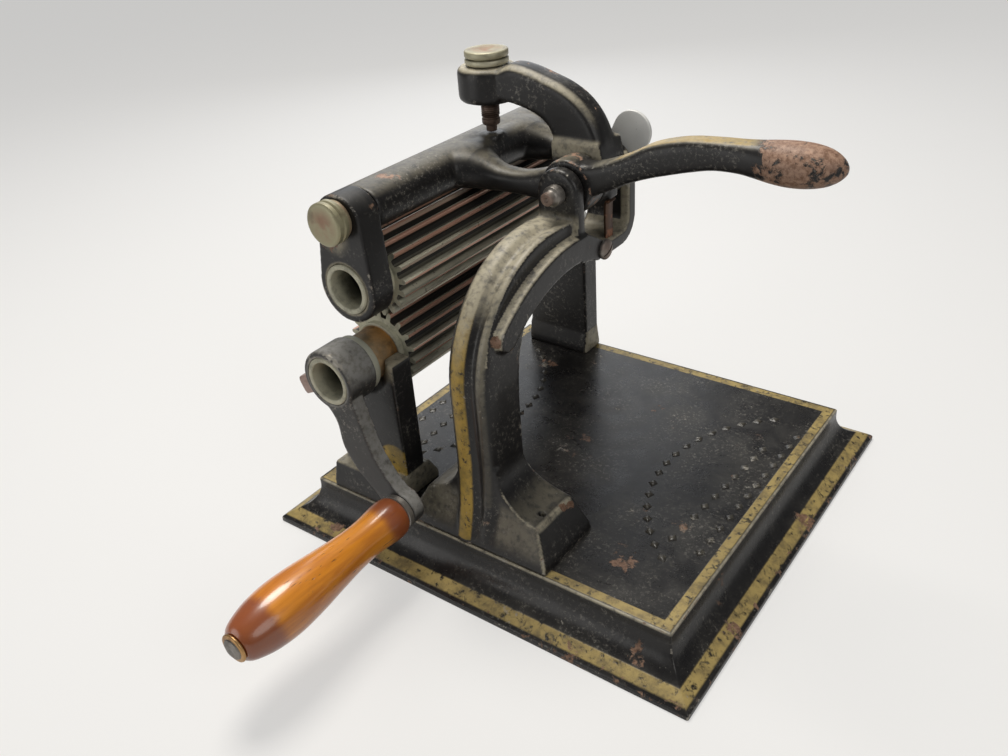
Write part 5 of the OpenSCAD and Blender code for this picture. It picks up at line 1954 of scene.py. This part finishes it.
@dataclass
class Lever:
    """Roller bar, fork arms, hubs and the curved handle, with the hangers on the bar."""

    kit: Kit
    hub_r: float = 12.5
    front_hub: Flat = (-9, 4)
    rear_hub: Flat = (34.2, 47.2)
    rear_r: float = 7.5
    head: float = 10.2
    bar_half: Flat = (12, 9.5)
    stud_r: float = 5.0
    stud_depth: float = 14.0
    washer: Flat = (2, 8.5)
    nut_length: float = 6.5
    nut: Outline = field(default_factory=lambda: [
        (0.25, 0), (0, 3), (0, 8.3), (0.15, 8.9), (0.7, 9.45), (1.3, 9.5), (2.6, 9.5), (3, 9.1), (3.3, 8.8),
        (3.6, 9.1), (4, 9.5), (5.8, 9.5), (6.3, 9.1), (6.5, 8.6), (6.5, 5.05), (1.6, 5.05), (1.6, 0)])
    fork: tuple[tuple[float, float, float, float, float], ...] = (
        (-68, 0, 163, 29, 9.4), (-60, 0, 163.1, 23, 9.5), (-55, 0, 162.9, 17.6, 9.4),
        (-50, -0.3, 162.3, 13, 8.9), (-45, -1, 161.4, 9.6, 7.8), (-40, -1.6, 160.5, 7.6, 6.6),
        (-35, -1.7, 159.9, 6.8, 5.8), (-24, -1.3, 159.7, 6.2, 5.7),
        (-13, -0.3, 160.2, 6.4, 7.8), (-6, 0, 161.2, 6.5, 10.2), (0, 0, 162, 6.5, 11.8))
    handle: tuple[tuple[float, float, float, float, float], ...] = (
        (0, 173.4, 152, 6.4, 4), (10, 173.2, 158.4, 6.4, 4), (20, 176.2, 163, 6.3, 4),
        (29, 180.2, 167.5, 6.2, 4), (38, 185, 171, 6.1, 4), (47, 188, 173.7, 6, 3.8),
        (56, 189.8, 176.2, 5.9, 3.6), (66, 190.6, 178.4, 5.9, 3.4), (76, 191.1, 178.7, 6.3, 3),
        (83, 191.7, 177.8, 7.2, 2.6), (90, 192.6, 176.7, 8.6, 2.3), (97, 193.2, 176.2, 9.3, 2.1),
        (104, 193, 176.8, 9.1, 2), (110, 191.7, 178.4, 7.4, 2), (114.2, 189.3, 180.9, 4.8, 2),
        (116.6, 186.6, 183.6, 1.6, 2))

    def build(self) -> None:
        """Builds and dresses the lever and what hangs on it."""
        self.casting()
        self.hangers()
        self.studs()
        self.nuts()

    def bar(self) -> Flat:
        """X and Z of the bar's axis."""
        return span("lever")[0].x + self.bar_half[0], BAR_Z

    def casting(self) -> None:
        """Casts bar, fork and handle in one."""
        x, z = self.bar()
        y0, y1 = span("front_hanger")[1].y, span("rear_hanger")[0].y
        form = Form("lever_piece")
        form.prism(Axis.Y, [(x + u, z + v) for u, v in rounded(*self.bar_half, 2.5, 56)], y0, y1, 0.5)
        for (a, b), sign, r in ((self.front_hub, 1, self.hub_r), (self.rear_hub, -1, self.rear_r)):
            line = [(*p[:4], min(p[4], r - 0.4) if p[0] > -20.0 else p[4]) for p in curve(self.fork, 5)]
            form.rings([[(p[0], (a + b) / 2 + sign * p[1] + u, p[2] + v) for u, v in rounded(p[3], p[4], 2.3, 36)]
                        for p in line])
            form.turned(Axis.Y, PIVOT, beaded(a, b, r, 1.2))
        form.prism(Axis.Y, [(u - 57.5, v + 163.4) for u, v in rounded(9.6, 9, 2.3, 40)], -4, 46)
        form.turned(Axis.Z, (-55.7, 14.4), [(160, 6), (172.6, 6), (173.4, 5.2)], 40)
        rings = []
        for px, top, bottom, half, power in curve(self.handle, 5):
            mid, tall = (top + bottom) / 2, (top - bottom) / 2
            rings.append([(px, -2.5 + u, mid + v) for u, v in rounded(half, tall, power, 40)])
        form.rings(rings)
        piece = cast(form.build(), voxel=0.7, rounds=5, cutters=[drill(Axis.Y, PIVOT, PIN_BORE, -12, 50)])

        def gold(p: Skin) -> Array:
            """Painted top of the handle."""
            grip_part = between(p.x, 24, 82, 3) * between(p.y, -6.6, 1.6, 0.4)
            return grip_part * ramp(p.nz, 0.6, 0.85)

        def bare(p: Skin) -> Array:
            """Rusty bulb, hub and spot on the bar.

            Args:
                p: The piece's skin.

            Returns:
                The mask.
            """
            bulb = ramp(p.x, 74, 90) * (0.78 + 0.2 * np.abs(p.nz))
            ring = 0.6 * between(p.off(Axis.Y, PIVOT), 11.4, 12.8, 0.3) * (np.abs(p.y + 2.5) < 7.5)
            return np.maximum.reduce([bulb, ring, 0.7 * p.near([(-62, -52, 172, 10)])])

        def cream(p: Skin) -> Array:
            """Dust on fork, handle and bar.

            Args:
                p: The piece's skin.

            Returns:
                The mask.
            """
            top = ramp(p.nz, 0.55, 0.95)
            fork = 0.35 * between(p.x, -48, 2, 4) * top
            grip_top = 0.35 * between(p.x, 14, 84, 4) * top
            return np.maximum.reduce([fork, grip_top, 0.22 * top * (p.x < -50)])

        measure(piece, 0.40, {"gold": gold, "bare": bare, "cream": cream})
        self.kit.place(piece, Body.LEVER, self.kit.japan_dusty, Slot.JAPAN, "lever")

    def hangers(self) -> None:
        """Casts the hangers."""
        bar = self.bar()
        axis = centre("upper_roller")

        def ring(p: Skin) -> Array:
            """Rubbed ring round the roller's end, and a patch under the nut.

            Args:
                p: The piece's skin.

            Returns:
                The mask.
            """
            tube = 0.75 * between(p.off(Axis.Y, (axis.x, axis.z)), 11, 12.7, 0.4)
            patch = 0.7 * ramp(p.off(Axis.Y, (bar[0] - 4, bar[1] - 9)), 10, 3)
            return np.maximum(tube, patch) * (np.abs(p.ny) > 0.4)

        def rusty(p: Skin) -> Array:
            """Rusty patch on the hangers' faces."""
            return 0.75 * (np.abs(p.ny) > 0.6) * ramp(p.off(Axis.Y, (-73, 152)), 11, 4)

        for node in ("front_hanger", "rear_hanger"):
            piece = node_copy(node)
            squeeze = self.head / (span(node)[1].z - bar[1])
            for vert in piece.data.vertices:
                tall = vert.co.z - placed((0, 0, bar[1])).z
                vert.co.z -= max(0, tall) * (1.0 - squeeze)
            cast(piece, voxel=0.65, rounds=5)
            measure(piece, CAST_REACH, {"cream": ring, "bare": rusty})
            self.kit.place(piece, Body.LEVER, self.kit.japan_worn, Slot.JAPAN, node)

    def studs(self) -> None:
        """Turns the studs in the bar's ends and their washers."""
        bar, r = self.bar(), self.stud_r
        low, high = span("hanger_studs")
        front, rear = span("front_hanger")[1].y + self.stud_depth, span("rear_hanger")[0].y - self.stud_depth
        form = Form("hanger_studs_piece")
        form.turned(Axis.Y, bar, [(low.y, 0), (low.y, r - 0.4), (low.y + 0.4, r), (front, r), (front, 0)], 40)
        form.turned(Axis.Y, bar, [(rear, 0), (rear, r), (high.y - 0.4, r), (high.y, r - 0.4), (high.y, 0)], 40)
        piece = form.build()
        measure(piece, TURNED_REACH)
        self.kit.place(piece, Body.LEVER, self.kit.bolt, Slot.BOLT, "hanger_studs")
        low, high = span("hanger_washers")
        thick, r = self.washer
        form = Form("hanger_washers_piece")
        for a, b in ((low.y, low.y + thick), (high.y - thick, high.y)):
            form.turned(Axis.Y, bar, beaded(a, b, r, 0.4, 5.05), closed=True)
        piece = form.build()
        measure(piece, TURNED_REACH, {"bare": lambda p: np.full(len(p.co), 0.5)}, sharp=TURNED_SHARP)
        self.kit.place(piece, Body.LEVER, self.kit.bronze, Slot.BRONZE, "hanger_washers")

    def nuts(self) -> None:
        """Turns the knob nuts on the studs."""
        bar = self.bar()

        def spot(p: Skin) -> Array:
            """Rusty middle of a nut's face."""
            return ramp(p.off(Axis.Y, bar), 6.5, 2) * (np.abs(p.ny) > 0.7)

        for node, sign in (("front_knob_nut", -1), ("rear_knob_nut", 1)):
            low, high = span(node)
            face = low.y if sign < 0 else high.y
            profile = [(face - sign * s * (high.y - low.y) / self.nut_length, r) for s, r in self.nut]
            self.kit.turn(node, Axis.Y, bar, profile, Body.LEVER, self.kit.bronze, Slot.BRONZE, 72,
                          masks={"bare": spot})


@dataclass
class PressureArm:
    """Gooseneck on the pivot pin, with its screw and knob."""

    kit: Kit
    repeats: Repeats
    hub: Flat = (4.3, 24.5)
    outer_count: int = 12
    steps: int = 5
    screw_r: float = 3.95
    thread_pitch: float = 0.8
    thread_depth: float = 0.45
    crown: tuple[Flat, ...] = (
        (5.4, 2.6), (6.2, 1.7), (7.6, 0.8), (9.6, 0), (15.5, 0), (18, 0.6), (20.5, 2), (22.4, 3.8),
        (23.4, 5))
    outline: Outline = field(default_factory=lambda: [
        (-58, 204.3), (-48, 204.4), (-43.4, 205.4), (-38.5, 207.3), (-31, 206.6), (-21, 203.8), (-11, 200.4),
        (-2.5, 195.3), (4, 188.2), (8.2, 179.6), (9.4, 171.5), (8.6, 164), (-2, 160), (-13, 164),
        (-14.6, 172), (-16.2, 179), (-20, 184.4), (-26.5, 187.8), (-34, 189.8), (-42, 191), (-52, 191.6),
        (-58, 192)])

    def build(self) -> None:
        """Builds and dresses arm, screw and knob."""
        self.arm()
        self.screw()
        self.knob()

    def arm(self) -> None:
        """Casts the gooseneck with boss, hub and heel."""
        spot = centre("pressure_screw")
        line = curve(self.outline, self.steps, True)
        outer = (np.arange(len(line)) < self.steps * self.outer_count).astype(float)
        form = Form("pressure_arm_piece")
        form.layers(Axis.Y, [(y, inset(line, drop * outer + 0.4 * (1.0 - outer))) for y, drop in self.crown])
        form.turned(Axis.Z, (spot.x, spot.y), [(189, 12.6), (190.2, 13.8), (191, 14), (202.2, 14),
                                               (203.6, 13.4), (204.5, 12)], 64)
        form.turned(Axis.Y, PIVOT, beaded(*self.hub, 12.5, 0.8))
        form.prism(Axis.Y, [(-16, 162), (-16.2, 177), (-8, 178.5), (8.4, 178), (10, 171), (10.2, 162)],
                   self.hub[0] + 0.2, self.hub[1] - 0.2, 0.8)
        form.prism(Axis.Y, [(0, 162), (6.5, 153.1), (12.2, 153.1), (12.2, 163), (8, 168)], 7.7, 14.8, 0.5)
        cutters = [drill(Axis.Z, (spot.x, spot.y), 4.85, 150, 215), drill(Axis.Y, PIVOT, PIN_BORE, 0, 30)]
        piece = cast(form.build(), voxel=0.7, rounds=6, cutters=cutters)

        def cream(p: Skin) -> Array:
            """Rubbed pad and dusty foot, with a painted highlight along the top front edge and the hub block's pale
            front, partly dust and partly painted highlight.

            Args:
                p: The piece's skin.

            Returns:
                The mask.
            """
            pad = between(p.off(Axis.Z, (spot.x, spot.y)), 0, 12.6, 0.6) * (p.nz > 0.8)
            # Painted highlight along the rounded top front edge.
            edge = 0.8 * ramp(p.nz, 0.35, 0.75) * ramp(-p.ny, 0.15, 0.5) * (p.z > 176)
            foot = 0.5 * ramp(p.nz, 0.5, 0.9) * (p.z < 180)
            # Hub block's front: dust and a painted highlight where its bevelled top catches the light.
            block = 0.8 * (p.ny < -0.5) * between(p.z, 170.5, 179, 1)
            return np.maximum.reduce([pad, edge, foot, block])

        def bare(p: Skin) -> Array:
            """Brown top and rusty spots.

            Args:
                p: The piece's skin.

            Returns:
                The mask.
            """
            spots = 0.6 * p.near(((-36, 14, 206, 5), (-8, 20, 198, 5)))
            top = 0.62 * ramp(p.nz, 0.3, 0.7) * ramp(p.y, 10, 14) * between(p.x, -44, 4, 4)
            return np.maximum(spots, top * (p.z > 182))

        measure(piece, CAST_REACH, {"cream": cream, "bare": bare})
        self.kit.place(piece, Body.ARM, self.kit.japan_dusty, Slot.JAPAN, "pressure_arm")

    def screw(self) -> None:
        """Turns the screw and winds its thread."""
        low, high = span("pressure_screw")
        spot = centre("pressure_screw")
        r = self.screw_r
        piece = Form("pressure_screw_piece").turned(Axis.Z, (spot.x, spot.y), [
            (low.z, 0), (low.z, 1.9), (low.z + 0.4, 2.5), (low.z + 3, 2.6), (low.z + 3.4, 3.9), (low.z + 4.2, 4.3),
            (low.z + 6, 4.3), (low.z + 6.4, r), (high.z, r), (high.z, 0)], 48).build()
        thread = path_object("thread", [(0, 0, 0)], False)
        tall = high.z - low.z - 8.4
        self.repeats.thread.run(thread, self.kit.thread, Radius=r * MM, Height=tall * MM,
                                Turns=tall / self.thread_pitch, Depth=self.thread_depth * MM)
        moved(thread, (spot.x, spot.y, low.z + 7.2))
        joined(piece, [thread])
        measure(piece, 0.8, sharp=TURNED_SHARP)
        self.kit.place(piece, Body.SCREW, self.kit.thread, Slot.BOLT, "pressure_screw")

    def knob(self) -> None:
        """Turns the knob of two discs."""
        low, high = span("screw_knob")
        spot = centre("screw_knob")
        axis = (spot.x, spot.y)
        r, z0, z1 = (high.x - low.x) / 2, low.z, high.z
        mid = (z0 + z1) / 2
        profile = [
            (z0, 4.7), (z0, r - 1), (z0 + 0.3, r - 0.3), (z0 + 0.9, r), (mid - 0.9, r), (mid - 0.5, r - 0.3),
            (mid - 0.4, r - 1.8), (mid + 0.1, r - 1.8), (mid + 0.2, r - 0.3), (mid + 0.6, r), (z1 - 0.7, r),
            (z1 - 0.25, r - 0.35), (z1 - 0.05, r - 1), (z1, r - 2), (z1 - 0.05, 5), (z1 - 0.35, 3),
            (z1 - 0.45, 0), (z1 - 1.1, 0), (z1 - 1.1, 4.7)]

        def spotted(p: Skin) -> Array:
            """Rusty middle of the knob's top."""
            return ramp(p.off(Axis.Z, axis), 9, 3) * (p.nz > 0.7)

        def pale(p: Skin) -> Array:
            """Pale lower disc and rims."""
            return np.maximum(0.85 * (p.z < mid - 0.7), 0.35 * (p.off(Axis.Z, axis) > r - 1.2))

        self.kit.turn("screw_knob", Axis.Z, axis, profile, Body.KNOB, self.kit.bronze, Slot.BRONZE, 80, True,
                      masks={"bare": spotted, "cream": pale})


@dataclass
class Pivot:
    """Pivot pin, finger plate, heel spring and its screw."""

    kit: Kit
    eye_r: float = 7.5
    tongue_r: float = 9.4
    tongue: Flat = (9.2, 176.5)
    leaf: float = 1.3
    slit_turn: float = 0.5
    slit: Flat = (6, 0.55)

    def build(self) -> None:
        """Builds and dresses the pieces on the pivot."""
        self.pin()
        self.plate()
        self.spring()
        self.screw()

    def pin(self) -> None:
        """Turns the pin, with a centre hole in its tip."""
        low, high = span("pivot_pin")
        a, b = low.y, high.y
        profile = [
            (a + 1.6, 0), (a, 1.2), (a, 2.5), (a + 0.4, 2.95), (a + 2.6, 3), (a + 3.4, 3.3), (a + 4, 4.3),
            (a + 4.6, 4.5), (b - 1.5, 4.5), (b - 1.5, 5.6), (b - 1.1, 6), (b - 0.4, 5.8), (b, 4.6), (b, 0)]

        def tip(p: Skin) -> Array:
            """Rusty tip."""
            return 0.7 * ramp(p.y, a + 3.2, a + 1)

        self.kit.turn("pivot_pin", Axis.Y, PIVOT, profile, Body.FRAME, self.kit.bolt, Slot.BOLT, 56,
                      masks={"bare": tip})

    def plate(self) -> None:
        """Cuts the bare plate on the pin: an eye with a round tongue that leans to the handle."""
        low, high = span("pin_finger_plate")
        (x, z), eye_r, r = self.tongue, self.eye_r, self.tongue_r
        lean = math.degrees(math.atan2(z - PIVOT[1], x))
        bend = math.degrees(math.acos((eye_r - r) / math.hypot(x, z - PIVOT[1])))
        outline = (arc(x, z, r, lean - bend, lean + bend, 36)
                   + arc(*PIVOT, eye_r, lean + bend, lean + 360 - bend, 36))
        piece = Form("pin_finger_plate_piece").layers(Axis.Y, [
            (low.y, inset(outline, 0.35)), (low.y + 0.15, inset(outline, 0.1)), (low.y + 0.4, outline),
            (high.y - 0.4, outline), (high.y - 0.15, inset(outline, 0.1)), (high.y, inset(outline, 0.35))]).build()
        measure(piece, 0.8, sharp=50)
        self.kit.place(piece, Body.FRAME, self.kit.bare, Slot.BARE, "pin_finger_plate")

    def spring(self) -> None:
        """Bends the leaf that stands in the yoke and presses up the arm's heel."""
        low, high = span("heel_spring")
        thick = self.leaf
        path = curve([(low.x + 0.65, low.z), (low.x + 0.65, low.z + 8), (low.x + 0.5, low.z + 14),
                      (low.x + 0.75, high.z - 2.6), (low.x + 1.6, high.z - 0.9), (low.x + 2.6, high.z - 1.6)], 6)
        form = Form("heel_spring_piece")
        form.prism(Axis.Y, shifted(path, thick / 2) + shifted(path, -thick / 2)[::-1], high.y - 6, high.y, 0.2)
        form.prism(Axis.Y, [(low.x, low.z), (low.x + thick, low.z), (low.x + thick, 134), (low.x, 134)], low.y,
                   high.y - 5.9, 0.15)
        piece = form.build()
        measure(piece, 0.8, sharp=45)
        self.kit.dress(piece, self.kit.spring, Slot.SPRING)
        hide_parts("heel_spring")
        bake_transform(piece)
        LOG.info("%s bends between frame and arm", piece.name)

    def screw(self) -> None:
        """Turns the slotted screw that clamps the leaf."""
        low, high = span("spring_screw")
        spot = (centre("spring_screw").y, centre("spring_screw").z)
        face = high.x - 2.8
        shape = [(low.x, 0), (low.x, 2.2), (low.x + 0.4, 2.5), (face, 2.5), (face, 4.6), (face + 0.5, 4.75)]
        shape += [(face + 0.6 + 2.2 * math.sin(math.radians(t)), 4.75 * math.cos(math.radians(t)))
                  for t in range(10, 91, 10)]
        piece = Form("spring_screw_piece").turned(Axis.X, spot, shape, 56).build()
        c, s = math.cos(self.slit_turn), math.sin(self.slit_turn)
        long, wide = self.slit
        outline = [(spot[0] + u * c - v * s, spot[1] + u * s + v * c)
                   for u, v in ((-long, -wide), (long, -wide), (long, wide), (-long, wide))]
        slit = Form("cut").prism(Axis.X, outline, high.x - 1.2, high.x + 2).build()
        subtract(piece, slit)
        evaluated(piece)
        discard(slit)
        measure(piece, TURNED_REACH, {"bare": lambda p: 0.5 * (p.nx > 0.2)}, sharp=TURNED_SHARP)
        self.kit.place(piece, Body.FRAME, self.kit.bolt, Slot.BOLT, "spring_screw")


@dataclass(frozen=True)
class Studio:
    """Pale floor, soft lamps and the camera at the photograph's place."""

    eye: Point = (214.9, -333.3, 305)
    right: Point = (0.80712, 0.58657, -0.06703)
    up: Point = (-0.2595, 0.4544, 0.8522)
    focal_px: float = 944.14
    image_px: float = 1008.0
    sensor: float = 36.0
    floor_colour: Colour = (0.32, 0.316, 0.308)
    world_colour: Colour = (0.90, 0.92, 0.95)
    world_level: float = 0.17
    floor_glow: float = 0.52
    floor_reach: float = 4.0
    goal: Point = (0, 0, 90)
    lamps: tuple[tuple[str, Point, float, float, Colour], ...] = (
        ("key", (-250, 120, 900), 0.42, 7.2, (1, 0.965, 0.91)),
        ("front", (-420, -780, 260), 0.6, 1.8, (1, 0.985, 0.96)),
        ("side", (650, -250, 520), 0.5, 1.5, (1, 0.98, 0.95)),
        ("back", (-500, 600, 450), 0.6, 1.5, (0.93, 0.96, 1)))

    def camera(self) -> None:
        """Places the camera."""
        data = bpy.data.cameras.new("camera")
        data.sensor_fit = "HORIZONTAL"
        data.sensor_width = self.sensor
        data.lens = self.focal_px * self.sensor / self.image_px
        data.clip_start, data.clip_end = 0.01, 20.0
        made = linked("camera", data)
        x, y = Vector(self.right).normalized(), Vector(self.up).normalized()
        z = x.cross(y)
        turn = Matrix((x, y, z)).transposed().to_4x4()
        made.matrix_world = Matrix.Translation(placed(self.eye)) @ turn
        bpy.context.scene.camera = made

    def lamp(self, name: str, point: Point, size: float, watts: float, colour: Colour) -> None:
        """Hangs a soft area lamp that looks at the machine.

        Args:
            name: Name of the lamp.
            point: Its place in millimetres from the base's middle.
            size: Its width in metres.
            watts: Its strength.
            colour: Colour of its light.
        """
        data = bpy.data.lights.new(name, "AREA")
        data.shape, data.size, data.energy, data.color = "DISK", size, watts, colour
        made = linked(name, data)
        made.location = placed(point)
        made.rotation_euler = (placed(self.goal) - placed(point)).to_track_quat("-Z", "Y").to_euler()

    def floor(self) -> None:
        """Lays the floor."""
        mesh = bpy.data.meshes.new("floor")
        far = self.floor_reach
        mesh.from_pydata([(-far, -far, 0), (far, -far, 0), (far, far, 0), (-far, far, 0)], [], [(0, 1, 2, 3)])
        made = linked("floor", mesh)
        paint = Surface("floor")
        g, shader = paint.g, paint.shader
        tone = g.mix(g.noise(paint.where, 6), self.floor_colour, tuple(0.97 * c for c in self.floor_colour))
        g.put(tone, shader.inputs["Base Color"])
        g.put(0.75, shader.inputs["Roughness"])
        path = g.add("ShaderNodeLightPath")
        seen = g.most(path.outputs["Is Camera Ray"], path.outputs["Is Glossy Ray"])
        seen = g.most(seen, path.outputs["Is Transmission Ray"])
        g.put((1, 0.99, 0.97, 1), shader.inputs["Emission Color"])
        g.put(g.times(seen, self.floor_glow), shader.inputs["Emission Strength"])
        mesh.materials.append(paint.material)

    def world(self) -> None:
        """Sets the soft surrounding light."""
        world = bpy.data.worlds.new("studio")
        bpy.context.scene.world = world
        world.use_nodes = True
        g = Graph(world.node_tree)
        shade = world.node_tree.nodes["Background"]
        g.put(self.world_colour + (1,), shade.inputs[0])
        g.put(self.world_level, shade.inputs[1])

    def build(self) -> None:
        """Builds the studio."""
        self.camera()
        self.floor()
        self.world()
        for lamp in self.lamps:
            self.lamp(*lamp)
        bpy.context.scene.view_settings.view_transform = "Standard"


def main() -> None:
    """Builds every piece and the studio."""
    logging.basicConfig(level=logging.INFO, format="%(name)s: %(message)s")
    kit = Kit()
    repeats = Repeats()
    Studio().build()
    base = BasePlate(kit, repeats)
    base.build()
    base.ornament()
    base.bolts()
    Standard(kit).build()
    Posts(kit).build()
    Rollers(kit, repeats).build()
    Crank(kit).build()
    Lever(kit).build()
    PressureArm(kit, repeats).build()
    Pivot(kit).build()


if __name__ == "__main__":
    main()
